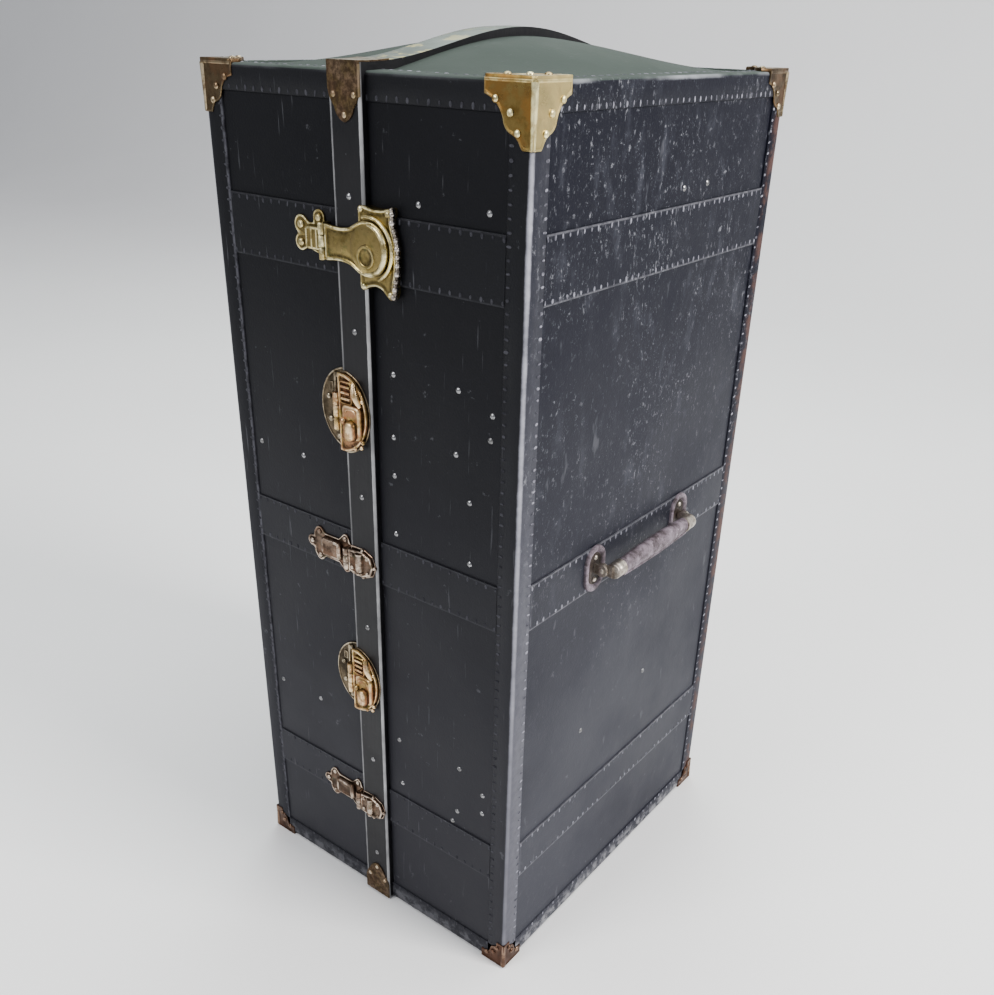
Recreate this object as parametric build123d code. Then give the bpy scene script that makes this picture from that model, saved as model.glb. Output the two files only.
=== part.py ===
# Upright wardrobe trunk that opens like a book on a rear vertical hinge.
# Millimetres. +Z is up, the closures face -Y, and the near side with its handle faces +X.
# The origin lies on the floor, at the middle of the trunk's overall footprint.
import os
from functools import cache
from math import pi, sin

from build123d import *

os.makedirs("parts", exist_ok=True)

# Case
width = 463.0
depth = 537.0
height = 1120.0
dome_rise = 35.0
wall = 9.0
top_board = 14.0
trim = 2.0
cap_sheet = 1.6
edge_width = 28.0
parting_x = -23.0
leaf_gap = 0.3
rim_sheet = 2.0
lining_sheet = 1.0
band_levels = {"upper": (0.817, 0.8795), "middle": (0.4804, 0.5339), "lower": (0.1339, 0.1857)}

# Closing strip that covers the joint between the halves
strip_width = 45.0
strip_height = 9.5
strip_bevel = 2.5
shield_length = 56.0
shield_sheet = 1.4
shield_tip = 8.0
shield_return = 34.0

# Corner caps
cap_reach = 57.0
cap_drop = 59.0
cap_shoulder = 13.0

# Rear hinge
knuckle_radius = 4.5
hinge_pin_radius = 2.2
leaf_sheet = 2.0
leaf_width = 34.0
knuckle_length = 18.0
knuckle_count = 5
running_clearance = 0.05
end_clearance = 0.3

# Front closures
hasp_sheet = 3.4
hasp_lift = 1.7
hasp_barrel_radius = 4.2
hasp_pin_radius = 1.5
strike_sheet = 1.2
plate_sheet = 2.4
clasp_level = 0.8482
clasp_axis_x = -41.0
clasp_round_x = 29.0
clasp_round_radius = 29.0
clasp_barrel_length = 40.0
clasp_waist = 17.0
clasp_rim_width = 5.0
clasp_rim_height = 2.4
clasp_plate_right = 66.0
clasp_plate_left = 12.0
clasp_plate_top = 44.0
clasp_plate_low = 51.0
clasp_plate_ear = 10.0
clasp_end_lobe_x, clasp_end_lobe_z, clasp_end_lobe_radius = -83.0, 11.0, 11.0
clasp_near_lobe_x, clasp_near_lobe_z, clasp_near_lobe_radius = -54.0, 22.0, 9.0
clasp_tab_near, clasp_tab_half_end, clasp_tab_half_near = -36.0, 15.0, 20.0
clasp_shoulder_inset = 14.0
clasp_shoulder_share = 0.86
clasp_boss_radius = 6.0
clasp_guard_gap = 1.8
clasp_guard_width = 4.4
lock_levels = (0.6768, 0.3402)
lock_centre_x = -24.0
lock_half_width = 44.0
lock_half_height = 51.0
lock_axis_x = -32.0
lock_barrel_length = 46.0
lock_body_width = 27.0
lock_body_height = 44.0
lock_body_lift = 4.2
lock_knob_radius = 9.0
lock_knob_lift = 7.0
lock_knob_drop = 15.0
lock_knob_round = 2.5
lock_slot_length, lock_slot_width, lock_slot_depth = 15.0, 3.2, 2.0
lock_slot_rise, lock_slot_step = 8.0, 7.0
latch_levels = (0.5027, 0.15)
latch_axis_x = -29.0
latch_barrel_length = 30.0
latch_tip_x = 19.0
latch_plate_end = -108.0
latch_lobe_radius = 7.0
latch_hump = (36.0, 26.0, 5.0)
latch_lever_half = 18.0
latch_strike_half = 21.0
latch_curl_radius, latch_curl_length, latch_curl_inset = 5.0, 26.0, 24.0

# Handles
handle_level = 0.507143
handle_half_span = 106.0
handle_pivot_lift = 12.0
handle_throw = 14.0
grip_radius = 9.5
grip_swell = 11.0
grip_half_length = 78.0
ferrule_radius = 10.2
bracket_length = 58.0
bracket_width = 38.0
bracket_sheet = 2.2
lug_sheet = 4.0
lug_radius = 8.5
handle_pin_radius = 3.0
handle_bore_clearance = 0.05

# Inside the drawer half
shelf_levels = (0.2375, 0.4107, 0.583, 0.6946)
shelf_board = 6.0
drawer_recess = 16.0
drawer_board = 8.0
drawer_bottom = 5.0
drawer_clearance = 1.0
drawer_lift = 0.3
drawer_headroom = 12.0
drawer_back_gap = 4.0
pull_length = 96.0
pull_height = 13.0
pull_reach = 11.0

# Inside the hanging half
channel_spacing = 120.0
channel_depth = 14.0
channel_sheet = 2.5
channel_ledge = 9.0
trolley_sheet = 3.0
trolley_length = 178.0
rail_drop = 22.0
rail_radius = 6.0
post_radius = 4.0
hanger_count = 3
hanger_spacing = 46.0
hanger_span = 420.0
hanger_board = 9.0
hanger_depth = 24.0
hook_wire = 2.0
hook_drop = 46.0
hanger_fall = 52.0
hanger_crown_fall = 14.0

# Rivets, at their x (or their distance from the front edge) and their share of the height
rivet_radius = 3.6
rivet_rise = 1.7
strip_rivet_levels = (0.8929, 0.7643, 0.5839, 0.4188, 0.2268, 0.0723)
drawer_rivets = (
    (89, 0.8929), (181, 0.8946), (48, 0.7277), (143, 0.7295), (190, 0.7134), (188, 0.6884),
    (46, 0.6607), (140, 0.6634), (46, 0.6179), (160, 0.6161), (46, 0.5500), (161, 0.5473),
    (42, 0.2705), (148, 0.2741), (187, 0.2527), (187, 0.2259), (46, 0.2054), (145, 0.2089),
    (137, 0.1902),
)
hanging_rivets = ((-111, 0.6045), (-190, 0.6045), (-111, 0.2705), (-190, 0.2705))
side_rivets = (
    (302, 0.8955), (358, 0.8964), (327, 0.2946), (164, 0.2812),
)

# Derived levels. Stand-off is measured outwards from the covering of the front or rear face.
half_width = width / 2
band_spans = {name: (low * height, high * height) for name, (low, high) in band_levels.items()}
clasp_z = clasp_level * height
lock_heights = [level * height for level in lock_levels]
latch_heights = [level * height for level in latch_levels]
shelf_tops = [level * height for level in shelf_levels]
handle_z = handle_level * height
hasp_axis = strip_height + hasp_lift + hasp_sheet / 2
hasp_under = hasp_axis - hasp_sheet / 2
hasp_face = hasp_axis + hasp_sheet / 2
front_reach = hasp_face + lock_body_lift + lock_knob_lift
hinge_axis = trim + leaf_gap + knuckle_radius
rear_reach = hinge_axis + knuckle_radius
body_shift = (front_reach - rear_reach) / 2
front_skin = -depth / 2 + trim + body_shift
rear_skin = depth / 2 - trim + body_shift
middle_y = (front_skin + rear_skin) / 2
base_skin = cap_sheet + trim
floor_top = base_skin + wall
rim_height = height - trim
ceiling = rim_height - top_board
strip_right = parting_x + strip_width
strip_left = parting_x + leaf_gap / 2
hinge_y = rear_skin + hinge_axis


def save(node, *solids):
    """Write one sub-part, whose solids may be several."""
    shape = solids[0] if len(solids) == 1 else Compound(children=list(solids))
    export_step(shape, f"parts/{node}.step")


def block(x0, x1, y0, y1, z0, z1):
    """A box between two corners, given in any order."""
    size = (abs(x1 - x0), abs(y1 - y0), abs(z1 - z0))
    centre = ((x0 + x1) / 2, (y0 + y1) / 2, (z0 + z1) / 2)
    return Pos(*centre) * Box(*size)


def on_front(sketch, low, high):
    """Raise a sketch drawn in x and z from one stand-off of the front face to another."""
    plane = Plane(origin=(0, front_skin - low, 0), x_dir=(1, 0, 0), z_dir=(0, -1, 0))
    return extrude(plane * sketch, amount=high - low, dir=(0, -1, 0))


def bulge(across):
    """Share of the dome's rise at a share of the way across the top."""
    return sin(pi * min(max(across, 0.0), 1.0)) ** 2


def dome_height(x, y):
    """Height of the covering on top of the trunk."""
    along_x = bulge((x + half_width) / width)
    along_y = bulge((y - middle_y + depth / 2) / depth)
    return rim_height + dome_rise * along_x * along_y


def dome_surface(points=15, overhang=18.0):
    """The domed top's surface, reaching a little past the rim all round."""
    span_x = width + 2 * overhang
    span_y = depth + 2 * overhang
    grid = []
    for i in range(points):
        x = -span_x / 2 + span_x * i / (points - 1)
        row = []
        for j in range(points):
            y = middle_y - span_y / 2 + span_y * j / (points - 1)
            row.append((x, y, dome_height(x, y)))
        grid.append(row)
    return Face.make_surface_from_array_of_points(grid)


dome_face = dome_surface()


@cache
def dome_layer(low, high):
    """The layer between two offsets above the dome's surface."""
    return extrude(Pos(0, 0, low) * dome_face, amount=high - low, dir=(0, 0, 1))


def barrel(x, z, length, axis_height, radius, bore):
    """A vertical barrel of a front closure, with its bore."""
    place = Pos(x, front_skin - axis_height, z)
    return place * (Cylinder(radius, length) - Cylinder(bore, length + 1))


class Half:
    """One half of the case: side is +1 for the drawer half and -1 for the hanging half."""

    def __init__(self, name, side):
        self.name = name
        self.side = side
        self.open_x = parting_x + side * leaf_gap / 2
        self.rim_x = self.open_x + side * rim_sheet
        self.skin_x = side * (half_width - trim)
        self.edge_x = side * half_width
        self.inner_x = self.skin_x - side * wall

    def panels(self):
        """Five boards: side, front, rear, bottom and domed top."""
        save(
            f"{self.name}_side_panel",
            block(self.inner_x, self.skin_x, front_skin, rear_skin, floor_top, ceiling),
        )
        for label, outer_y, turn in (("front", front_skin, 1), ("rear", rear_skin, -1)):
            inner_y = outer_y + turn * wall
            save(
                f"{self.name}_{label}_panel",
                block(self.rim_x, self.inner_x, outer_y, inner_y, floor_top, ceiling),
            )
        save(
            f"{self.name}_bottom_panel",
            block(self.rim_x, self.skin_x, front_skin, rear_skin, base_skin, floor_top),
        )
        board = block(
            self.rim_x, self.skin_x, front_skin, rear_skin, ceiling, rim_height + dome_rise
        )
        save(f"{self.name}_top_panel", board - dome_layer(0, 2 * dome_rise))

    def closing_rim(self):
        """The metal edge that lines the mouth of the half."""
        outer = block(
            self.open_x, self.rim_x, front_skin, rear_skin, base_skin, rim_height + dome_rise
        )
        mouth = block(
            self.open_x - self.side, self.rim_x + self.side,
            front_skin + wall, rear_skin - wall, floor_top, ceiling,
        )
        save(f"{self.name}_closing_rim", outer - mouth - dome_layer(0, 2 * dome_rise))

    @cache
    def case_block(self):
        """The half's outer form with its bindings, as one solid."""
        form = block(
            self.open_x, self.edge_x, front_skin - trim, rear_skin + trim,
            cap_sheet, height + dome_rise,
        )
        return form - dome_layer(trim, trim + 2 * dome_rise)

    def edge_binding(self):
        """Stitched fibre binding along the outer edges."""
        core = block(
            self.open_x, self.skin_x, front_skin, rear_skin, base_skin, rim_height + dome_rise
        )
        core -= dome_layer(0, 2 * dome_rise)
        low_z = base_skin + edge_width
        high_z = height - edge_width
        inner_x = self.edge_x - self.side * edge_width
        front_y = front_skin - trim + edge_width
        rear_y = rear_skin + trim - edge_width
        beyond = 2 * dome_rise
        mouth_x = self.open_x - self.side
        windows = [
            block(mouth_x, inner_x, front_skin - beyond, rear_skin + beyond, low_z, high_z),
            block(0, 2 * self.edge_x, front_y, rear_y, low_z, high_z),
            block(mouth_x, inner_x, front_y, rear_y, -beyond, height + beyond),
        ]
        binding = self.case_block() - core
        for window in windows:
            binding -= window
        if self.side > 0:
            binding -= strip_bar()
            binding -= strip_over()
        save(f"{self.name}_edge_binding", *binding.solids())

    def bands(self):
        """Three flat bands that run across the front, the side and the rear."""
        inner_x = self.edge_x - self.side * edge_width
        front_y = front_skin - trim + edge_width
        rear_y = rear_skin + trim - edge_width
        front_start = strip_right if self.side > 0 else self.open_x
        pieces = []
        for low_z, high_z in band_spans.values():
            pieces.append(
                block(front_start, inner_x, front_skin - trim, front_skin, low_z, high_z)
            )
            pieces.append(block(self.skin_x, self.edge_x, front_y, rear_y, low_z, high_z))
            pieces.append(
                block(self.open_x, inner_x, rear_skin, rear_skin + trim, low_z, high_z)
            )
        save(f"{self.name}_bands", *pieces)

    def corner_caps(self):
        """Pressed caps on the four outer corners."""
        pieces = []
        for turn_y, corner_y in ((1, front_skin - trim), (-1, rear_skin + trim)):
            for turn_z, corner_z in ((1, cap_sheet), (-1, height)):
                cap = corner_cap()
                if self.side > 0:
                    cap = mirror(cap, about=Plane.YZ)
                if turn_y < 0:
                    cap = mirror(cap, about=Plane.XZ)
                if turn_z < 0:
                    cap = mirror(cap, about=Plane.XY)
                cap = Pos(self.edge_x, corner_y, corner_z) * cap
                pieces.append(cap - self.case_block())
        save(f"{self.name}_corner_caps", *pieces)

    def lining(self):
        """The cloth-covered lining of the walls, back, floor and ceiling."""
        outer = block(
            self.rim_x, self.inner_x,
            front_skin + wall, rear_skin - wall, floor_top, ceiling,
        )
        hollow = block(
            self.rim_x - self.side, self.inner_x - self.side * lining_sheet,
            front_skin + wall + lining_sheet, rear_skin - wall - lining_sheet,
            floor_top + lining_sheet, ceiling - lining_sheet,
        )
        save(f"{self.name}_lining", outer - hollow)


def lobed_outline(reach, drop):
    """A cap's outline on one face: full at the corner, with two scooped notches."""
    edge = cap_sheet
    knee = (reach * 0.61, drop * 0.56)
    toe = (reach * 0.42, drop * 0.78)
    wire = Wire([
        Edge.make_line((-edge, -edge), (reach, -edge)),
        Edge.make_line((reach, -edge), (reach, cap_shoulder)),
        Edge.make_three_point_arc(
            (reach, cap_shoulder), (reach * 0.77, drop * 0.33), knee
        ),
        Edge.make_three_point_arc(knee, (reach * 0.55, drop * 0.7), toe),
        Edge.make_three_point_arc(toe, (reach * 0.3, drop * 0.86), (cap_shoulder, drop)),
        Edge.make_line((cap_shoulder, drop), (-edge, drop)),
        Edge.make_line((-edge, drop), (-edge, -edge)),
    ])
    return Face(wire)


def corner_cap():
    """A cap for the corner at the origin, whose faces run towards +X, +Y and +Z."""
    face_xz = Plane(origin=(0, 0, 0), x_dir=(1, 0, 0), z_dir=(0, -1, 0))
    face_yz = Plane(origin=(0, 0, 0), x_dir=(0, 1, 0), z_dir=(1, 0, 0))
    face_xy = Plane(origin=(0, 0, 0), x_dir=(1, 0, 0), z_dir=(0, 0, 1))
    outline = lobed_outline(cap_reach, cap_drop)
    flat_outline = lobed_outline(cap_reach, cap_reach)
    upright = extrude(face_xz * outline, amount=cap_sheet, dir=(0, -1, 0))
    flank = extrude(face_yz * outline, amount=cap_sheet, dir=(-1, 0, 0))
    flat = extrude(face_xy * flat_outline, amount=cap_sheet, dir=(0, 0, -1))
    return upright + flank + flat


@cache
def strip_bar():
    """The bevelled bar of the closing strip, up the front."""
    profile = Polyline(
        (strip_left, front_skin),
        (strip_left, front_skin - strip_height + 1),
        (strip_left + 1, front_skin - strip_height),
        (strip_right - strip_bevel, front_skin - strip_height),
        (strip_right, front_skin - strip_height + strip_bevel),
        (strip_right, front_skin),
        close=True,
    )
    bar_length = rim_height + strip_height - base_skin
    return extrude(Pos(0, 0, base_skin) * make_face(profile), bar_length)


@cache
def strip_over():
    """The closing strip's run over the dome, from the bar to the rear edge."""
    run = block(
        strip_left, strip_right, front_skin, rear_skin, rim_height - 1,
        rim_height + 2 * dome_rise,
    )
    return run & dome_layer(0, strip_height)


def shield_outline():
    """The outline of a strip cap: wide at the end, drawn in to a rounded tip."""
    half = strip_width / 2
    waist = half * 0.62
    wire = Wire([
        Edge.make_line((-half, 0), (half, 0)),
        Edge.make_line((half, 0), (half, -shield_length * 0.42)),
        Edge.make_three_point_arc(
            (half, -shield_length * 0.42), (half * 0.84, -shield_length * 0.62),
            (waist, -shield_length * 0.74),
        ),
        Edge.make_three_point_arc(
            (waist, -shield_length * 0.74), (half * 0.3, -shield_length + shield_tip * 0.4),
            (0, -shield_length),
        ),
        Edge.make_three_point_arc(
            (0, -shield_length), (-half * 0.3, -shield_length + shield_tip * 0.4),
            (-waist, -shield_length * 0.74),
        ),
        Edge.make_three_point_arc(
            (-waist, -shield_length * 0.74), (-half * 0.84, -shield_length * 0.62),
            (-half, -shield_length * 0.42),
        ),
        Edge.make_line((-half, -shield_length * 0.42), (-half, 0)),
    ])
    return Face(wire)


def strip_caps():
    """Bronze caps over the strip's upper and lower ends."""
    middle = (strip_left + strip_right) / 2
    low = strip_height
    high = strip_height + shield_sheet
    top_z = rim_height + strip_height
    upper = on_front(Pos(middle, top_z) * shield_outline(), low, high)
    lower_shape = Pos(middle, base_skin) * mirror(shield_outline(), about=Plane.XZ)
    lower = on_front(lower_shape, low, high)
    saddle = block(
        strip_left, strip_right, front_skin - high, front_skin + shield_return,
        rim_height, rim_height + 2 * dome_rise,
    )
    saddle &= dome_layer(strip_height, strip_height + shield_sheet) + block(
        strip_left, strip_right, front_skin - high, front_skin - low,
        rim_height, top_z + shield_sheet,
    ) + block(
        strip_left, strip_right, front_skin - low, front_skin,
        top_z, top_z + shield_sheet,
    )
    saddle -= strip_bar()
    saddle -= strip_over()
    save("strip_end_caps", upper + saddle, lower)


def rivet_head():
    """A domed rivet head on its base circle, with its axis along +Z."""
    sphere_radius = (rivet_radius ** 2 + rivet_rise ** 2) / (2 * rivet_rise)
    ball = Pos(0, 0, rivet_rise - sphere_radius) * Sphere(sphere_radius)
    return ball & Pos(0, 0, rivet_rise / 2) * Box(
        3 * rivet_radius, 3 * rivet_radius, rivet_rise
    )


def covering_level(z):
    """Stand-off of the front covering at a height: the bands stand proud of it."""
    for low_z, high_z in band_spans.values():
        if low_z <= z <= high_z:
            return trim
    return 0.0


def front_rivet(x, z, level):
    """A rivet head on the front face."""
    plane = Plane(origin=(x, front_skin - level, z), x_dir=(1, 0, 0), z_dir=(0, -1, 0))
    return plane * rivet_head()


def covered_rivet(x, z):
    """A rivet head on the covering or the band at a height of the front face."""
    return front_rivet(x, z, covering_level(z))


def side_rivet(y_from_edge, z):
    """A rivet head on the side with the photographed handle."""
    plane = Plane(
        origin=(half_width - trim, front_skin - trim + y_from_edge, z),
        x_dir=(0, 1, 0), z_dir=(1, 0, 0),
    )
    return plane * rivet_head()


def rivets():
    """Rivets of the strip, of the drawer supports, of the hanging half and of the side."""
    strip_middle = (strip_left + strip_right) / 2
    save("strip_rivets", *[
        front_rivet(strip_middle, level * height, strip_height) for level in strip_rivet_levels
    ])
    heads = [covered_rivet(x, level * height) for x, level in drawer_rivets]
    heads += [side_rivet(y, level * height) for y, level in side_rivets]
    save("drawer_half_rivets", *heads)
    save("hanging_half_rivets", *[
        covered_rivet(x, level * height) for x, level in hanging_rivets
    ])


def rear_hinges():
    """Three knuckled hinges on the rear bands, with their pins."""
    drawer_leaves = []
    hanging_leaves = []
    pins = []
    span = knuckle_count * knuckle_length
    for low_z, high_z in band_spans.values():
        middle_z = (low_z + high_z) / 2
        start_z = middle_z - span / 2
        pins.append(Pos(parting_x, hinge_y, middle_z) * Cylinder(hinge_pin_radius, span))
        leaves = {}
        for side in (1, -1):
            near_x = parting_x + side * leaf_gap
            far_x = parting_x + side * leaf_width
            leaves[side] = block(
                near_x, far_x, rear_skin + trim, rear_skin + trim + leaf_sheet,
                max(low_z, start_z), min(high_z, start_z + span),
            )
        for index in range(knuckle_count):
            side = 1 if index % 2 == 0 else -1
            knuckle_z = start_z + (index + 0.5) * knuckle_length
            place = Pos(parting_x, hinge_y, knuckle_z)
            length = knuckle_length - end_clearance
            room = place * Cylinder(knuckle_radius + leaf_gap, knuckle_length + end_clearance)
            leaves[-side] -= room
            bore = hinge_pin_radius if side > 0 else hinge_pin_radius + running_clearance
            web = block(
                parting_x + side * leaf_gap, parting_x + side * (knuckle_radius + leaf_sheet),
                rear_skin + trim, hinge_y, knuckle_z - length / 2, knuckle_z + length / 2,
            )
            knuckle = place * Cylinder(knuckle_radius, length) + web
            knuckle -= place * Cylinder(bore, length + 1)
            leaves[side] = leaves[side] + knuckle
            leaves[side] -= place * Cylinder(bore, length)
        drawer_leaves += leaves[1].solids()
        hanging_leaves += leaves[-1].solids()
    save("drawer_half_hinge_leaves", *drawer_leaves)
    save("hanging_half_hinge_leaves", *hanging_leaves)
    save("hinge_pins", *pins)


def closure_barrel(x, z, length):
    """A closure's fixed end knuckles, its moving middle knuckle and its pin."""
    third = length / 3
    bore = hasp_pin_radius + running_clearance
    fixed = [
        barrel(x, z + turn * third, third - end_clearance, hasp_axis, hasp_barrel_radius,
               hasp_pin_radius)
        for turn in (-1, 1)
    ]
    moving = barrel(x, z, third - end_clearance, hasp_axis, hasp_barrel_radius, bore)
    pin = Pos(x, front_skin - hasp_axis, z) * Cylinder(hasp_pin_radius, length)
    return fixed, moving, pin


def barrel_seat(x, z, length, level):
    """The two posts that carry a closure's fixed knuckles."""
    third = length / 3
    posts = []
    for turn in (-1, 1):
        middle = z + turn * third
        half = (third - end_clearance) / 2
        post = on_front(
            Pos(x, middle) * Rectangle(2 * hasp_barrel_radius - 1, 2 * half), level, hasp_axis
        )
        posts.append(post)
    return posts


def fixed_side(plate, x, z, length, level):
    """A fixed hinge plate with its posts and knuckles, and the pin through them."""
    fixed, moving, pin = closure_barrel(x, z, length)
    base = plate
    for piece in barrel_seat(x, z, length, level) + fixed:
        base += piece
    base -= pin
    return base, moving, pin


def clasp():
    """The large clasp: trefoil base, swinging hasp with a dished round end, strike plate."""
    lobes = Sketch()
    for turn in (-1, 1):
        lobes += Pos(clasp_end_lobe_x, clasp_z + turn * clasp_end_lobe_z) * Circle(
            clasp_end_lobe_radius
        )
        lobes += Pos(clasp_near_lobe_x, clasp_z + turn * clasp_near_lobe_z) * Circle(
            clasp_near_lobe_radius
        )
    tab = make_face(Polyline(
        (clasp_end_lobe_x - 1, clasp_z - clasp_tab_half_end),
        (clasp_tab_near, clasp_z - clasp_tab_half_near),
        (clasp_tab_near, clasp_z + clasp_tab_half_near),
        (clasp_end_lobe_x - 1, clasp_z + clasp_tab_half_end),
        close=True,
    ))
    plate = on_front(lobes + tab, trim, trim + plate_sheet)
    base, knuckle, pin = fixed_side(
        plate, clasp_axis_x, clasp_z, clasp_barrel_length, trim
    )
    save("clasp_base", base, pin)

    neck_x = clasp_axis_x + hasp_barrel_radius + end_clearance
    half_barrel = clasp_barrel_length / 2
    waist_x = (clasp_axis_x + clasp_round_x) / 2 - 6
    shoulder_x = clasp_round_x - clasp_shoulder_inset
    shoulder_z = clasp_shoulder_share * clasp_round_radius
    upper = Edge.make_three_point_arc(
        (neck_x, clasp_z + half_barrel), (waist_x, clasp_z + clasp_waist),
        (shoulder_x, clasp_z + shoulder_z),
    )
    lower = Edge.make_three_point_arc(
        (shoulder_x, clasp_z - shoulder_z),
        (waist_x, clasp_z - clasp_waist), (neck_x, clasp_z - half_barrel),
    )
    arm = Face(Wire([
        upper,
        Edge.make_line(upper @ 1, lower @ 0),
        lower,
        Edge.make_line(lower @ 1, upper @ 0),
    ]))
    tongue = Pos((clasp_axis_x + neck_x) / 2 + 1, clasp_z) * Rectangle(
        neck_x - clasp_axis_x + 2, clasp_barrel_length / 3 - end_clearance
    )
    round_end = Pos(clasp_round_x, clasp_z) * Circle(clasp_round_radius)
    hasp = on_front(arm + round_end + tongue, hasp_under, hasp_face)
    ring = Circle(clasp_round_radius) - Circle(clasp_round_radius - clasp_rim_width)
    hasp += on_front(
        Pos(clasp_round_x, clasp_z) * ring, hasp_face, hasp_face + clasp_rim_height
    )
    boss = Pos(clasp_round_x, clasp_z) * Circle(clasp_boss_radius)
    hasp += on_front(boss, hasp_face, hasp_face + 1)
    hasp -= Pos(clasp_axis_x, front_skin - hasp_axis, clasp_z) * Cylinder(
        hasp_pin_radius + running_clearance, clasp_barrel_length
    )
    save("clasp_hasp", hasp + knuckle)

    top = clasp_z + clasp_plate_top
    low = clasp_z - clasp_plate_low
    left = clasp_plate_left
    right = clasp_plate_right
    outline = Face(Wire([
        Edge.make_three_point_arc((left, top), ((left + right) / 2 - 4, top - 6),
                                  (right - clasp_plate_ear, top - 1)),
        Edge.make_three_point_arc((right - clasp_plate_ear, top - 1), (right - 3, top - 16),
                                  (right - 2, clasp_z + 20)),
        Edge.make_three_point_arc((right - 2, clasp_z + 20), (right, clasp_z),
                                  (right - 2, clasp_z - 20)),
        Edge.make_three_point_arc((right - 2, clasp_z - 20), (right - 4, low + 14),
                                  (right - clasp_plate_ear, low)),
        Edge.make_three_point_arc((right - clasp_plate_ear, low), ((left + right) / 2, low + 7),
                                  (left, low + 4)),
        Edge.make_line((left, low + 4), (left, top)),
    ]))
    plate_face = hasp_under - end_clearance
    strike = on_front(outline, 0, plate_face)
    guard_inner = clasp_round_radius + clasp_guard_gap
    guard_outer = guard_inner + clasp_guard_width
    guard = Circle(guard_outer) - Circle(guard_inner)
    guard &= Pos(guard_outer + 8, 0) * Rectangle(2 * guard_outer, 2 * guard_outer)
    save("clasp_guard", on_front(
        Pos(clasp_round_x, clasp_z) * guard, plate_face, plate_face + hasp_sheet
    ))
    band_low, band_high = band_spans["upper"]
    strike -= strip_bar()
    strike -= block(
        strip_right, half_width, front_skin - trim, front_skin, band_low, band_high
    )
    save("clasp_strike", *strike.solids())


def oval(scale=1.0):
    """The oval outline shared by the lock plates, drawn at its centre."""
    return Ellipse(lock_half_width * scale, lock_half_height * scale)


def locks():
    """Two oval locks: hinge plate, swinging lock case and strike plate on the strip."""
    bases = []
    strikes = []
    for label, z in zip(("upper", "lower"), lock_heights):
        centre = Pos(lock_centre_x, z)
        left_edge = lock_centre_x - lock_half_width
        left_part = Pos((left_edge + parting_x - leaf_gap) / 2, z) * Rectangle(
            parting_x - leaf_gap - left_edge, 3 * lock_half_height
        )
        left_plate = on_front((centre * oval()) & left_part, 0, plate_sheet)
        base, knuckle, pin = fixed_side(left_plate, lock_axis_x, z, lock_barrel_length, 0)
        bases += [base, pin]

        right_end = lock_centre_x + lock_half_width
        right_part = Pos((strip_left + right_end) / 2, z) * Rectangle(
            right_end - strip_left, 3 * lock_half_height
        )
        strikes.append(on_front(
            (centre * oval()) & right_part, strip_height, strip_height + strike_sheet
        ))

        neck_x = lock_axis_x + hasp_barrel_radius + end_clearance
        cover_part = Pos((neck_x + right_end) / 2, z) * Rectangle(
            right_end - neck_x, 3 * lock_half_height
        )
        tongue = Pos((lock_axis_x + neck_x) / 2 + 1, z) * Rectangle(
            neck_x - lock_axis_x + 2, lock_barrel_length / 3 - end_clearance
        )
        hasp = on_front((centre * oval(0.94)) & cover_part, hasp_under, hasp_face)
        hasp += on_front(tongue, hasp_under, hasp_face)
        body_x = (strip_left + right_end) / 2 - 1
        case = RectangleRounded(lock_body_width, lock_body_height, 7)
        hasp += on_front(Pos(body_x, z - 6) * case, hasp_face, hasp_face + lock_body_lift)
        for step in (0, 1):
            slot = SlotOverall(lock_slot_length - 4 * step, lock_slot_width)
            hasp -= on_front(
                Pos(body_x, z + lock_slot_rise - lock_slot_step * step) * slot,
                hasp_face + lock_body_lift - lock_slot_depth, hasp_face + lock_body_lift + 1,
            )
        knob_top = hasp_face + lock_body_lift + lock_knob_lift
        knob = on_front(
            Pos(body_x, z - lock_knob_drop) * Circle(lock_knob_radius), hasp_face, knob_top
        )
        knob = fillet(knob.edges().group_by(Axis.Y)[0], lock_knob_round)
        hasp += knob
        hasp -= Pos(lock_axis_x, front_skin - hasp_axis, z) * Cylinder(
            hasp_pin_radius + running_clearance, lock_barrel_length
        )
        save(f"lock_hasp_{label}", hasp + knuckle)
    save("lock_bases", *bases)
    save("lock_strikes", *strikes)


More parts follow.
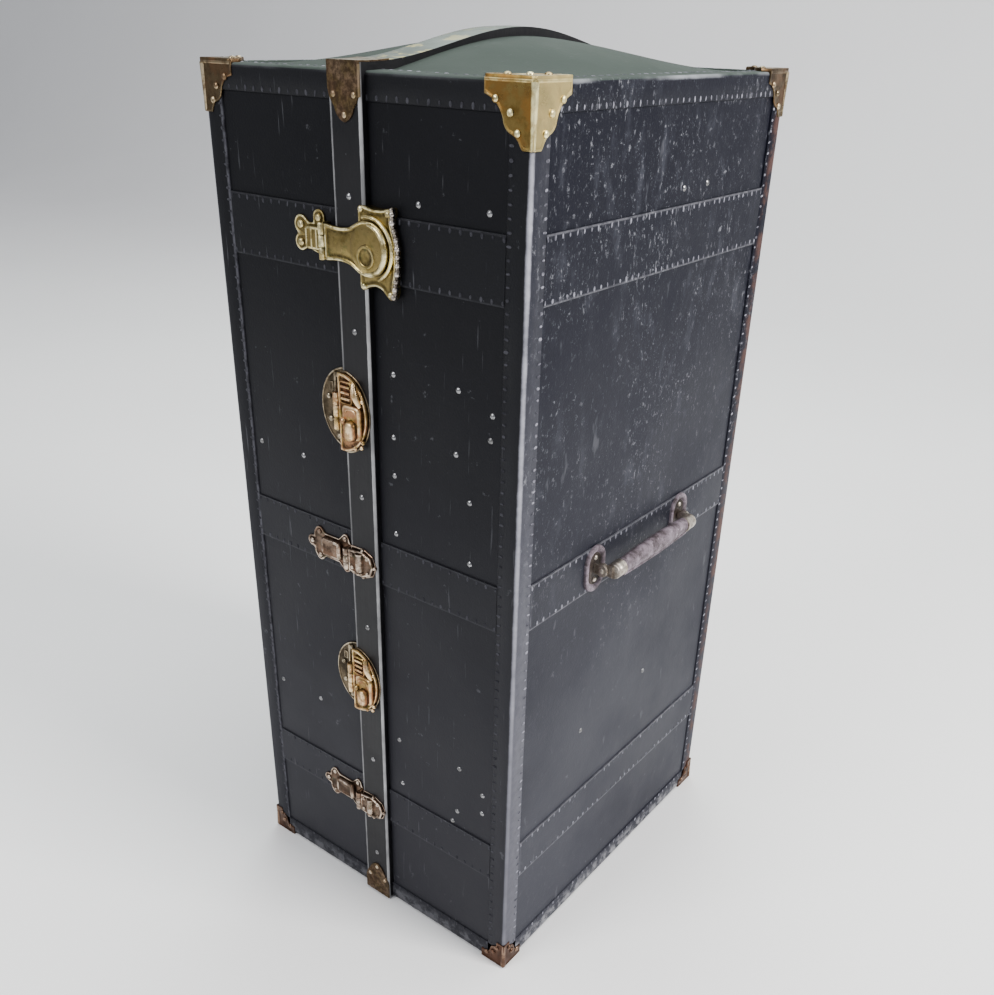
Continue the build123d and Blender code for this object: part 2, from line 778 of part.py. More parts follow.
def latches():
    """Two small latches: lobed base, swinging lever and six-sided strike."""
    bases = []
    strikes = []
    for label, z in zip(("middle", "lower"), latch_heights):
        end_x = latch_plate_end
        lobes = Pos(end_x + latch_lobe_radius + 1, z) * Circle(latch_lobe_radius + 1)
        for turn in (-1, 1):
            lobes += Pos(end_x + 22, z + turn * 17) * Circle(latch_lobe_radius)
            lobes += Pos(latch_axis_x - 10, z + turn * 20) * Circle(latch_lobe_radius)
        body = make_face(Polyline(
            (end_x + 6, z - 6), (end_x + 22, z - 20), (latch_axis_x + 3, z - 22),
            (latch_axis_x + 3, z + 22), (end_x + 22, z + 20), (end_x + 6, z + 6),
            close=True,
        ))
        plate = on_front(lobes + body, trim, trim + plate_sheet)
        hump_length, hump_width, hump_rise = latch_hump
        hump = on_front(
            Pos((end_x + latch_axis_x) / 2 + 6, z) * RectangleRounded(hump_length, hump_width, 5),
            trim, trim + plate_sheet + hump_rise,
        )
        hump = chamfer(hump.edges().group_by(Axis.Y)[0], hump_rise / 2)
        base, knuckle, pin = fixed_side(
            plate + hump, latch_axis_x, z, latch_barrel_length, trim
        )
        bases += [base, pin]

        tip = latch_tip_x
        neck_x = latch_axis_x + hasp_barrel_radius + end_clearance
        lever = make_face(Polyline(
            (neck_x, z - latch_lever_half + 3), (tip - 20, z - latch_lever_half),
            (tip - 5, z - latch_lever_half + 6), (tip - 1, z),
            (tip - 5, z + latch_lever_half - 6), (tip - 20, z + latch_lever_half),
            (neck_x, z + latch_lever_half - 3), close=True,
        ))
        tongue = Pos((latch_axis_x + neck_x) / 2 + 1, z) * Rectangle(
            neck_x - latch_axis_x + 2, latch_barrel_length / 3 - end_clearance
        )
        hasp = on_front(lever + tongue, hasp_under, hasp_face)
        curl = Pos(tip - latch_curl_inset, front_skin - hasp_face, z) * Cylinder(
            latch_curl_radius, latch_curl_length
        )
        curl -= block(
            -half_width, half_width, front_skin - hasp_under, front_skin, z - 20, z + 20
        )
        hasp += curl
        hasp -= Pos(latch_axis_x, front_skin - hasp_axis, z) * Cylinder(
            hasp_pin_radius + running_clearance, latch_barrel_length
        )
        save(f"latch_lever_{label}", hasp + knuckle)

        strike = make_face(Polyline(
            (strip_left, z - latch_strike_half + 1), (tip - 18, z - latch_strike_half),
            (tip - 3, z - latch_strike_half + 7), (tip + 2, z),
            (tip - 3, z + latch_strike_half - 7), (tip - 18, z + latch_strike_half),
            (strip_left, z + latch_strike_half - 1), close=True,
        ))
        strikes.append(on_front(strike, strip_height, strip_height + strike_sheet))
    save("latch_bases", *bases)
    save("latch_strikes", *strikes)


def side_handle(name, side):
    """A leather grip in metal ferrules that swings on pins between two brackets."""
    face_x = half_width
    pivot_x = face_x + handle_pivot_lift
    grip_x = pivot_x + handle_throw
    brackets = []
    ferrules = []
    for turn in (-1, 1):
        lug_y = middle_y + turn * handle_half_span
        plane = Plane(origin=(face_x, lug_y, handle_z), x_dir=(0, 1, 0), z_dir=(1, 0, 0))
        oval_plate = SlotOverall(bracket_length, bracket_width, rotation=90)
        plate = extrude(plane * oval_plate, bracket_sheet)
        plate = chamfer(plate.edges().group_by(Axis.X)[-1], 0.8)
        lug_plane = Plane(
            origin=(pivot_x, lug_y + turn * lug_sheet / 2, handle_z),
            x_dir=(0, 0, 1), z_dir=(0, -turn, 0),
        )
        lug = extrude(lug_plane * Circle(lug_radius), lug_sheet)
        lug += block(
            face_x, pivot_x, lug_y - lug_sheet / 2, lug_y + lug_sheet / 2,
            handle_z - lug_radius, handle_z + lug_radius,
        )
        bore = Pos(pivot_x, lug_y, handle_z) * Rot(90, 0, 0) * Cylinder(
            handle_pin_radius + handle_bore_clearance, 3 * lug_sheet
        )
        brackets.append(plate + lug - bore)

        arm_y = lug_y - turn * (lug_sheet + end_clearance)
        arm = Pos(pivot_x, arm_y, handle_z) * Rot(90, 0, 0) * Cylinder(lug_radius, lug_sheet)
        arm += block(
            pivot_x, grip_x + 2, arm_y - lug_sheet / 2, arm_y + lug_sheet / 2,
            handle_z - lug_radius, handle_z + lug_radius,
        )
        pin_length = 2 * lug_sheet + end_clearance
        arm += Pos(pivot_x, (arm_y + lug_y) / 2, handle_z) * Rot(90, 0, 0) * Cylinder(
            handle_pin_radius, pin_length
        )
        inner_y = middle_y + turn * grip_half_length
        outer_y = arm_y - turn * lug_sheet / 2
        cup = Pos(grip_x, (inner_y + outer_y) / 2, handle_z) * Rot(90, 0, 0) * Cylinder(
            ferrule_radius, abs(outer_y - inner_y)
        )
        cup += Pos(grip_x, arm_y, handle_z) * Rot(90, 0, 0) * Cylinder(
            ferrule_radius, lug_sheet
        )
        ferrules.append(arm + cup)
    half = grip_half_length
    profile = Wire([
        Edge.make_line((0, -half), (grip_radius, -half)),
        Edge.make_three_point_arc((grip_radius, -half), (grip_swell, 0), (grip_radius, half)),
        Edge.make_line((grip_radius, half), (0, half)),
        Edge.make_line((0, half), (0, -half)),
    ])
    grip = revolve(Face(profile), Axis.Y)
    grip = Pos(grip_x, middle_y, handle_z) * grip
    pieces = {"brackets": brackets, "ferrules": ferrules, "grip": [grip]}
    for label, solids in pieces.items():
        if side < 0:
            solids = [mirror(solid, about=Plane.YZ) for solid in solids]
        save(f"{name}_handle_{label}", *solids)


def drawer_fittings(half):
    """Shelves of the drawer half, and the drawers with their leather pulls."""
    back_x = half.inner_x - lining_sheet
    front_x = half.rim_x + drawer_recess
    wall_y = (front_skin + wall + lining_sheet, rear_skin - wall - lining_sheet)
    save("drawer_shelves", *[
        block(front_x, back_x, *wall_y, top - shelf_board, top) for top in shelf_tops
    ])
    floors = [floor_top + lining_sheet] + shelf_tops[:-1]
    for number, (floor, top) in enumerate(zip(floors, shelf_tops), start=1):
        base_z = floor + drawer_lift
        front_top = top - shelf_board - drawer_clearance
        side_top = front_top - drawer_headroom
        y0 = wall_y[0] + drawer_clearance
        y1 = wall_y[1] - drawer_clearance
        end_x = back_x - drawer_back_gap
        box = block(front_x, end_x, y0, y1, base_z, side_top)
        box -= block(
            front_x + drawer_board, end_x - drawer_board,
            y0 + drawer_board, y1 - drawer_board, base_z + drawer_bottom, top,
        )
        box += block(front_x, front_x + drawer_board, y0, y1, base_z, front_top)
        save(f"drawer_{number}", box)
        pull_z = (base_z + front_top) / 2
        plane = Plane(origin=(front_x, middle_y, pull_z), x_dir=(0, 1, 0), z_dir=(0, 0, 1))
        bow = Wire([
            Edge.make_three_point_arc(
                (-pull_length / 2, 0), (0, pull_reach), (pull_length / 2, 0)
            ),
            Edge.make_line((pull_length / 2, 0), (pull_length / 2 - 12, 0)),
            Edge.make_three_point_arc(
                (pull_length / 2 - 12, 0), (0, pull_reach - 3.5), (12 - pull_length / 2, 0)
            ),
            Edge.make_line((12 - pull_length / 2, 0), (-pull_length / 2, 0)),
        ])
        pull = extrude(plane * Face(bow), pull_height / 2, both=True)
        save(f"drawer_{number}_pull", pull)


def hanging_fittings(half):
    """Ceiling channels, the sliding trolley with its rail, and the hangers on it."""
    back_x = half.inner_x + lining_sheet
    ceiling_z = ceiling - lining_sheet
    channels = []
    for turn in (-1, 1):
        outer_y = middle_y + turn * (channel_spacing / 2 + channel_sheet)
        inner_y = middle_y + turn * channel_spacing / 2
        ledge_y = inner_y - turn * channel_ledge
        low_z = ceiling_z - channel_depth
        web = block(back_x, half.rim_x, outer_y, inner_y, low_z, ceiling_z)
        ledge = block(back_x, half.rim_x, outer_y, ledge_y, low_z, low_z + channel_sheet)
        channels.append(web + ledge)
    save("trolley_channels", *channels)

    plate_low = ceiling_z - channel_depth + channel_sheet + end_clearance
    plate_half = channel_spacing / 2 - drawer_clearance
    start_x = back_x + drawer_back_gap
    end_x = start_x + trolley_length
    trolley = block(
        start_x, end_x, middle_y - plate_half, middle_y + plate_half,
        plate_low, plate_low + trolley_sheet,
    )
    rail_z = plate_low - rail_drop
    trolley += Pos((start_x + end_x) / 2, middle_y, rail_z) * Rot(0, 90, 0) * Cylinder(
        rail_radius, trolley_length
    )
    for post_x in (start_x + 2 * post_radius, end_x - 2 * post_radius):
        trolley += Pos(post_x, middle_y, (plate_low + rail_z) / 2) * Cylinder(
            post_radius, plate_low - rail_z
        )
    save("hanger_trolley", trolley)

    middle_x = (start_x + end_x) / 2
    hangers = []
    for index in range(hanger_count):
        x = middle_x + (index - (hanger_count - 1) / 2) * hanger_spacing
        hangers.append(hanger(x, rail_z))
    save("garment_hangers", *hangers)


def hanger(x, rail_z):
    """A bowed wooden hanger on a wire hook, lying across the trunk."""
    half = hanger_span / 2
    neck_z = rail_z - rail_radius - hook_drop
    drop = hanger_fall
    crown = hanger_crown_fall
    bow = Wire([
        Edge.make_three_point_arc((-half, -drop), (-half * 0.45, -crown), (0, 0)),
        Edge.make_three_point_arc((0, 0), (half * 0.45, -crown), (half, -drop)),
        Edge.make_line((half, -drop), (half, -drop - hanger_depth)),
        Edge.make_three_point_arc(
            (half, -drop - hanger_depth), (half * 0.45, -crown - hanger_depth),
            (0, -hanger_depth),
        ),
        Edge.make_three_point_arc(
            (0, -hanger_depth), (-half * 0.45, -crown - hanger_depth),
            (-half, -drop - hanger_depth),
        ),
        Edge.make_line((-half, -drop - hanger_depth), (-half, -drop)),
    ])
    plane = Plane(origin=(x, middle_y, neck_z), x_dir=(0, 1, 0), z_dir=(1, 0, 0))
    wood = extrude(plane * Face(bow), hanger_board / 2, both=True)
    turn_radius = rail_radius + end_clearance + hook_wire
    ring = Circle(turn_radius + hook_wire) - Circle(turn_radius - hook_wire)
    mouth = Pos(-turn_radius, -turn_radius) * Rectangle(2 * turn_radius, 2 * turn_radius)
    stem_top = 1 - turn_radius
    stem_low = -rail_radius - hook_drop - 4
    stem = Pos(0, (stem_top + stem_low) / 2) * Rectangle(2 * hook_wire, stem_top - stem_low)
    hook_plane = Plane(origin=(x, middle_y, rail_z), x_dir=(0, 1, 0), z_dir=(1, 0, 0))
    hook = extrude(hook_plane * ((ring - mouth) + stem), hook_wire, both=True)
    return wood + hook


drawer_half = Half("drawer_half", 1)
hanging_half = Half("hanging_half", -1)
for case_half in (drawer_half, hanging_half):
    case_half.panels()
    case_half.closing_rim()
    case_half.edge_binding()
    case_half.bands()
    case_half.corner_caps()
    case_half.lining()
save("closing_strip_front", strip_bar())
save("closing_strip_top", strip_over())
strip_caps()
rivets()
rear_hinges()
clasp()
locks()
latches()
side_handle("right", 1)
side_handle("left", -1)
drawer_fittings(drawer_half)
hanging_fittings(hanging_half)

print("front skin y", round(front_skin, 3), "rear skin y", round(rear_skin, 3))
print("opening axis", parting_x, round(hinge_y, 3))
print("hasp axis y", round(front_skin - hasp_axis, 3))
print("handle axis x", half_width + handle_pivot_lift, "z", handle_z)
print("middle y", round(middle_y, 3))
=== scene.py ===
# %% [markdown]
# # Dressing a wardrobe trunk
# The solids of the trunk come from the CAD model and stay where they are. This lesson gives
# them their finishes, and makes the small pressed, turned and stitched pieces that a solid
# modeller leaves plain. All lengths here are metres; the makers below take millimetres.

# %% Load the trunk
from math import atan2, cos, pi, radians, sin, sqrt, tau

import bmesh
import bpy
import numpy as np
from mathutils import Matrix, Vector


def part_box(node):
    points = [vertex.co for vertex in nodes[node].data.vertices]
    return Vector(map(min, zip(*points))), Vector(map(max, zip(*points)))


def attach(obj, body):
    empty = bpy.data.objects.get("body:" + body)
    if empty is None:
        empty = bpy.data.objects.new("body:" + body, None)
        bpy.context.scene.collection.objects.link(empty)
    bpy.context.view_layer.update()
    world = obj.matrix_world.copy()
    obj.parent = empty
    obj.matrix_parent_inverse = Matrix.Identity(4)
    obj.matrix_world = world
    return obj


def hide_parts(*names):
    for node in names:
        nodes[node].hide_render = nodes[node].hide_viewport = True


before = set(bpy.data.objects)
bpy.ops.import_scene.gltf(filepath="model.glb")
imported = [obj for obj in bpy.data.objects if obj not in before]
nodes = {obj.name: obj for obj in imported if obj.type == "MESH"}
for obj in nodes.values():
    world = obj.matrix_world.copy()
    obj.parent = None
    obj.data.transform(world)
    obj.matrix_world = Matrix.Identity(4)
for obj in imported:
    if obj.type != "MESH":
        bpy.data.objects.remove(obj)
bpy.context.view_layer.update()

# %% Sizes read from the CAD nodes
MM = 0.001
side_low, side_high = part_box("drawer_half_side_panel")
bind_low, bind_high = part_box("drawer_half_edge_binding")
front_skin = side_low.y * 1000
rear_skin = side_high.y * 1000
half_width = bind_high.x * 1000
front_edge = bind_low.y * 1000
rear_edge = bind_high.y * 1000
trim = front_skin - front_edge
rim_height = 1118.0
case_height = 1120.0
foot_height = 1.6
dome_rise = 35.0
middle_y = (front_edge + rear_edge) / 2
depth = rear_edge - front_edge
parting_x = -23.0
strip_low, strip_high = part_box("closing_strip_front")
strip_left, strip_right = strip_low.x * 1000, strip_high.x * 1000
strip_face = front_skin - strip_low.y * 1000
bands = {"upper": (915.0, 985.0), "middle": (538.0, 598.0), "lower": (150.0, 208.0)}
clasp_z, lock_z, latch_z = 950.0, (758.0, 381.0), (563.0, 168.0)
handle_z, lug_reach = 568.0, 106
print("front skin", front_skin, "strip face", strip_face, "half width", half_width)

# %% [markdown]
# ## Camera, light and floor
# The photograph looks down at the near corner from a little above the trunk's top. The
# camera's turn, tilt and lens were solved from the trunk's corners, so the camera is written
# as its three axes, and its lens in pixels of the picture. Four soft square lights and a
# sheet that curves up behind the trunk give a plain pale studio.

# %% Camera
picture_wide, picture_high = 994, 995
focal_pixels, aim_column, aim_row = 1021.7, 496.5, 577.9
yaw, pitch, roll = radians(37.14), radians(28.36), radians(-1.48)
ahead = Vector((-sin(yaw) * cos(pitch), cos(yaw) * cos(pitch), -sin(pitch)))
level = Vector((cos(yaw), sin(yaw), 0))
under = ahead.cross(level)
across = cos(roll) * level + sin(roll) * under
down = -sin(roll) * level + cos(roll) * under
camera_data = bpy.data.cameras.new("photograph_camera")
camera_data.lens = camera_data.sensor_width * focal_pixels / picture_high
camera_data.shift_y = (aim_row - picture_high / 2) / picture_high
camera_data.shift_x = -(aim_column - picture_wide / 2) / picture_high
camera_data.clip_end = 60
camera = bpy.data.objects.new("photograph_camera", camera_data)
bpy.context.scene.collection.objects.link(camera)
turn = Matrix((across, -down, -ahead)).transposed().to_4x4()
camera.matrix_world = Matrix.Translation((0.8184, -1.0744, 1.1614)) @ turn
bpy.context.scene.camera = camera
bpy.context.scene.view_settings.look = "AgX - Medium High Contrast"
print("camera lens", round(camera_data.lens, 2), "mm")


# %% Lights
def softbox(name, place, aim, size, power, tint=(1, 1, 1)):
    """A square area light at a place, facing a point."""
    data = bpy.data.lights.new(name, "AREA")
    data.size = size
    data.energy = power
    data.color = tint
    lamp = bpy.data.objects.new(name, data)
    bpy.context.scene.collection.objects.link(lamp)
    lamp.location = place
    lamp.rotation_euler = (Vector(aim) - Vector(place)).to_track_quat("-Z", "Y").to_euler()
    lamp.visible_camera = False


softbox("key_light", (3.4, 0.5, 2.9), (0.2, 0, 0.5), 1.4, 170, (1.0, 0.98, 0.95))
softbox("fill_light", (-0.9, -3.2, 3.0), (0, 0, 0.6), 1.6, 70)
softbox("back_light", (-1.9, 2.6, 3.4), (0, 0, 1.1), 2.0, 30, (0.86, 1.0, 0.92))
softbox("floor_light", (0.0, 1.0, 6.0), (0, 0.2, 0), 5.0, 170)
world = bpy.data.worlds.new("studio")
world.use_nodes = True
world.node_tree.nodes["Background"].inputs["Color"].default_value = (0.93, 0.95, 1.0, 1)
world.node_tree.nodes["Background"].inputs["Strength"].default_value = 0.42
bpy.context.scene.world = world


# %% [markdown]
# ## A kit for finishes
# Every finish is a small tree of nodes around one Principled shader. Writing nodes by hand is
# long, so a little class keeps the wiring short: each method adds one node and returns what
# comes out of it. All patterns are read from Object coordinates, which lie in the trunk's frame.

# %% The finish class
class Finish:
    """A material being wired up, with its Principled shader."""

    def __init__(self, name, metallic=0.0, specular=0.5):
        self.material = bpy.data.materials.new(name)
        self.material.use_nodes = True
        self.tree = self.material.node_tree
        self.tree.nodes.clear()
        self.shader = self.add("ShaderNodeBsdfPrincipled")
        output = self.add("ShaderNodeOutputMaterial")
        self.tree.links.new(self.shader.outputs["BSDF"], output.inputs["Surface"])
        self.shader.inputs["Metallic"].default_value = metallic
        self.shader.inputs["Specular IOR Level"].default_value = specular
        self.place = self.add("ShaderNodeTexCoord").outputs["Object"]
        self.axes = self.add("ShaderNodeSeparateXYZ", Vector=self.place).outputs
        self.height = None

    def add(self, kind, settings=None, **inputs):
        node = self.tree.nodes.new(kind)
        for key, value in (settings or {}).items():
            setattr(node, key, value)
        for key, value in inputs.items():
            self.feed(node.inputs[key.replace("_", " ")], value)
        return node

    def feed(self, socket, value):
        if isinstance(value, bpy.types.NodeSocket):
            self.tree.links.new(value, socket)
        elif isinstance(value, (tuple, list)) and len(value) == 3 and socket.type == "RGBA":
            socket.default_value = (*value, 1)
        else:
            socket.default_value = value

    def maths(self, operation, first, second=0.0, clamp=False):
        node = self.add("ShaderNodeMath", {"operation": operation, "use_clamp": clamp})
        self.feed(node.inputs[0], first)
        self.feed(node.inputs[1], second)
        return node.outputs[0]

    def times(self, first, *others):
        """The product of numbers and sockets."""
        for other in others:
            first = self.maths("MULTIPLY", first, other)
        return first

    def plus(self, first, second, clamp=False):
        return self.maths("ADD", first, second, clamp)

    def minus(self, first, second):
        return self.maths("SUBTRACT", first, second)

    def absolute(self, value):
        return self.maths("ABSOLUTE", value)

    def stretched(self, x, y, z, turn=(0, 0, 0)):
        return self.add(
            "ShaderNodeMapping", Vector=self.place, Scale=(x, y, z), Rotation=turn
        ).outputs[0]

    def noise(self, scale, detail=3.0, rough=0.55, where=None, warp=0.0):
        return self.add(
            "ShaderNodeTexNoise", Vector=where or self.place, Scale=scale, Detail=detail,
            Roughness=rough, Distortion=warp,
        ).outputs["Fac"]

    def cells(self, scale, feature="F1"):
        return self.add(
            "ShaderNodeTexVoronoi", {"feature": feature}, Vector=self.place, Scale=scale
        ).outputs["Distance"]

    def band(self, value, low, high, to_low=0.0, to_high=1.0):
        """A smooth step of a value from low to high."""
        node = self.add("ShaderNodeMapRange", {"interpolation_type": "SMOOTHSTEP"})
        for name, number in zip(
            ("Value", "From Min", "From Max", "To Min", "To Max"),
            (value, low, high, to_low, to_high),
        ):
            self.feed(node.inputs[name], number)
        return node.outputs["Result"]

    def mix(self, share, first, second):
        """A colour that goes from the first to the second with the share."""
        node = self.add("ShaderNodeMix", {"data_type": "RGBA"})
        self.feed(node.inputs[0], share)
        self.feed(node.inputs[6], first)
        self.feed(node.inputs[7], second)
        return node.outputs[2]

    def attribute(self, name):
        return self.add("ShaderNodeAttribute", {"attribute_name": name}).outputs["Fac"]

    def bump(self, value, distance, strength=1.0):
        """Adds a relief; several calls lie one on the other."""
        node = self.add("ShaderNodeBump", Height=value, Distance=distance, Strength=strength)
        if self.height is not None:
            self.feed(node.inputs["Normal"], self.height)
        self.height = node.outputs[0]

    def done(self, colour, roughness):
        self.feed(self.shader.inputs["Base Color"], colour)
        self.feed(self.shader.inputs["Roughness"], roughness)
        if self.height is not None:
            self.feed(self.shader.inputs["Normal"], self.height)
        return self.material


# %% Distances to the trunk's edges, used by several finishes
def edge_gaps(f):
    """How far a point lies inside the nearer side, the nearer end and the top."""
    gap_x = f.minus(half_width * MM, f.absolute(f.axes["X"]))
    gap_y = f.minus(depth / 2 * MM, f.absolute(f.minus(f.axes["Y"], middle_y * MM)))
    gap_z = f.minus(case_height * MM, f.axes["Z"])
    return gap_x, gap_y, gap_z


# %% [markdown]
# ## The covering
# The case is board covered in a black fibre sheet. Close up it has a fine pebble, a faint
# patchiness and many pale scuffs, most of them on the side with the handle. The scuffs are
# thresholded noises: short upright scratches, small rubbed spots and fine specks. One more
# noise says where they crowd together, and a soft one spreads a dull smear between them.

# %% Scuffs
def scuff_pattern(f, on_side):
    """How strongly each point is scuffed, and how strongly it is smeared."""
    crowd = f.band(f.noise(5.5, 5, 0.72), 0.41, 0.6, 0.14, 1.0)
    upper = f.band(f.axes["Z"], 0.3, 0.72, 0.12, 1.0)
    amount = f.times(crowd, f.times(upper, on_side))
    scratch = f.noise(1.0, 4, 0.75, f.stretched(170, 170, 70))
    spots, specks = f.noise(105.0, 4, 0.72), f.noise(330.0, 3, 0.7)
    marks = f.plus(f.band(scratch, 0.59, 0.685), f.band(spots, 0.595, 0.68), True)
    marks = f.plus(marks, f.times(f.band(specks, 0.6, 0.7), 0.35), True)
    few = f.times(f.band(f.noise(60.0, 4, 0.7), 0.66, 0.73), 0.3)
    slanted = f.noise(1.0, 3, 0.6, f.stretched(260, 40, 14, (0.2, 0.3, 0.4)))
    hairlines = f.times(f.band(slanted, 0.66, 0.74), 0.3)
    everywhere = f.maths("MAXIMUM", few, hairlines)
    scuffs = f.maths("MAXIMUM", f.times(marks, amount), everywhere)
    clouds = f.noise(1.0, 4, 0.65, f.stretched(40, 40, 16))
    return scuffs, f.times(f.band(clouds, 0.5, 0.72, 0.0, 0.3), amount)


# %% [markdown]
# The bindings take the knocks. Their folds are rubbed pale, most of all on the near corner,
# where the pale ridge is also a painted highlight, the rear folds have rusted, the feet are
# scraped, and a thin light line shows where each band ends. Each of these is a band of
# distance to a fold, broken up by a noise.

# %% Wear of the bindings
def worn_binding(f, colour, fine, on_side, gaps):
    """Adds rust, faded folds, light lines, scraped feet and the rubbed near corner with its painted
    highlight.
    """
    gap_x, gap_y, gap_z = gaps
    x, y, z = (f.axes[name] for name in "XYZ")
    to_fold = f.plus(gap_x, gap_y)
    ragged = f.times(f.noise(45.0, 4, 0.7), 0.0026)

    rear = f.times(f.band(y, 0.1, 0.2), f.band(f.plus(to_fold, ragged), 0.026, 0.013))
    rust = f.times(rear, f.band(f.noise(38.0, 4, 0.7), 0.42, 0.58))
    colour = f.mix(f.times(rust, 0.8), colour, (0.1, 0.05, 0.04))

    fold_side = f.times(on_side, f.band(y, 0.1, -0.1), f.band(gap_y, 0.034, 0.024))
    faded = f.times(fold_side, f.band(z, 0.95, 0.35, 0.12, 0.55))
    colour = f.mix(f.times(faded, f.band(fine, 0.3, 0.7, 0.7, 1.0)), colour, (0.17, 0.17, 0.2))

    rim = f.plus(f.maths("MINIMUM", gap_x, gap_y), f.absolute(gap_z))
    rim_rub = f.band(f.plus(rim, ragged), 0.0062, 0.0036)
    rim_rub = f.times(rim_rub, f.band(f.noise(7.0, 3, 0.6), 0.42, 0.6))
    on_edge = f.band(gap_x, 0.0045, 0.0025, 0.12, 0.8)
    colour = f.mix(f.times(rim_rub, on_edge), colour, (0.3, 0.31, 0.33))

    to_line = 1.0
    for level in (level for pair in bands.values() for level in pair):
        to_line = f.maths("MINIMUM", to_line, f.absolute(f.minus(z, level * MM)))
    line = f.band(f.plus(to_line, f.times(ragged, 0.5)), 0.0036, 0.0016)
    line = f.times(line, f.band(gap_x, 0.0035, 0.0025, 0.12, 0.55))
    line = f.times(line, f.band(f.maths("MAXIMUM", gap_x, gap_y), 0.0265, 0.0285))
    colour = f.mix(f.times(line, f.band(fine, 0.35, 0.6, 0.5, 1.0)), colour, (0.2, 0.2, 0.22))

    inner = f.times(f.band(gap_x, 0.0235, 0.0255), f.band(gap_x, 0.0292, 0.028))
    on_front_left = f.times(f.band(x, 0.0, -0.1), f.band(gap_y, 0.004, 0.003))
    inner = f.times(inner, on_front_left, f.band(fine, 0.35, 0.6, 0.2, 0.7))
    colour = f.mix(inner, colour, (0.13, 0.13, 0.15))

    foot = f.times(f.band(z, 0.03, 0.014), f.band(f.noise(70.0, 4, 0.7), 0.4, 0.62))
    on_edge = f.band(gap_x, 0.0045, 0.0025, 0.3, 0.75)
    colour = f.mix(f.times(foot, on_edge), colour, (0.3, 0.3, 0.32))

    # The near corner's pale ridge is rubbed wear and also a painted highlight, paler higher up and
    # on the lit right side.
    rough_edge = f.plus(ragged, f.times(f.noise(16.0, 4, 0.7), 0.003))
    rub = f.band(f.plus(to_fold, rough_edge), 0.0078, 0.0036)
    right = f.times(f.band(x, 0.0, 0.1, 0.3, 1.0), f.band(z, 0.1, 0.85, 0.26, 1.0))
    near_rub_and_highlight = f.times(rub, right, f.band(y, 0.1, -0.1, 0.35, 1.0))
    return f.mix(f.times(near_rub_and_highlight, 0.95), colour, (0.5, 0.5, 0.56))


# %% Covering and binding finishes
def covering(name, base, sheen, worn_folds=False):
    """Black fibre, with painted shade on the side, a painted sheen low down and a painted
    grey-green reflection on the top.
    """
    f = Finish(name, specular=0.2)
    gaps = edge_gaps(f)
    gap_x, gap_y, gap_z = gaps
    on_side = f.band(gap_x, 0.0035, 0.0025)
    on_top = f.band(gap_z, 0.0025, 0.0015)
    painted_low_sheen = f.band(f.axes["Z"], 1.02, 0.06)
    patchy, fine = f.noise(5.0, 4, 0.6), f.noise(90.0, 3, 0.6)
    colour = f.mix(f.times(patchy, 0.75), base, sheen)
    # Painted sheen: the fibre is made paler towards the bottom, standing in for floor light
    # reflected in it.
    colour = f.mix(f.times(painted_low_sheen, 0.8), colour, (0.038, 0.038, 0.046))
    # Painted shade: the side face is given a darker, bluer tone to offset how the light falls on
    # it.
    colour = f.mix(f.times(on_side, 0.6), colour, (0.008, 0.009, 0.021))
    # Painted sheen: cloudy paler patches on the lower side, standing in for light reflected there.
    cloudy_side_sheen = f.band(f.noise(3.0, 3, 0.6), 0.35, 0.65, 0.2, 0.5)
    colour = f.mix(f.times(on_side, painted_low_sheen, cloudy_side_sheen), colour, (0.08, 0.082, 0.098))
    # Painted reflection: the top is given a grey-green tone that stands in for the sky reflected in
    # the glossy fibre.
    colour = f.mix(f.times(on_top, 0.75), colour, (0.074, 0.094, 0.082))
    scuffs, smear = scuff_pattern(f, on_side)
    colour = f.mix(smear, colour, (0.11, 0.115, 0.14))
    colour = f.mix(f.times(scuffs, 0.72), colour, (0.25, 0.255, 0.28))
    if worn_folds:
        colour = worn_binding(f, colour, fine, on_side, gaps)
    f.bump(f.cells(420.0), 0.0003, 0.35)
    f.bump(fine, 0.0006, 0.3)
    f.bump(f.noise(9.0, 2, 0.5), 0.004, 0.16)
    f.bump(scuffs, -0.0004, 0.5)
    rough = f.plus(f.band(patchy, 0.3, 0.7, 0.38, 0.52), f.times(scuffs, 0.2))
    return f.done(colour, f.plus(rough, f.times(on_top, 0.3)))


board = covering("black_fibre_covering", (0.0102, 0.0106, 0.0126), (0.009, 0.009, 0.012))
binding = covering(
    "black_fibre_binding", (0.0142, 0.0148, 0.0168), (0.012, 0.012, 0.016), worn_folds=True
)


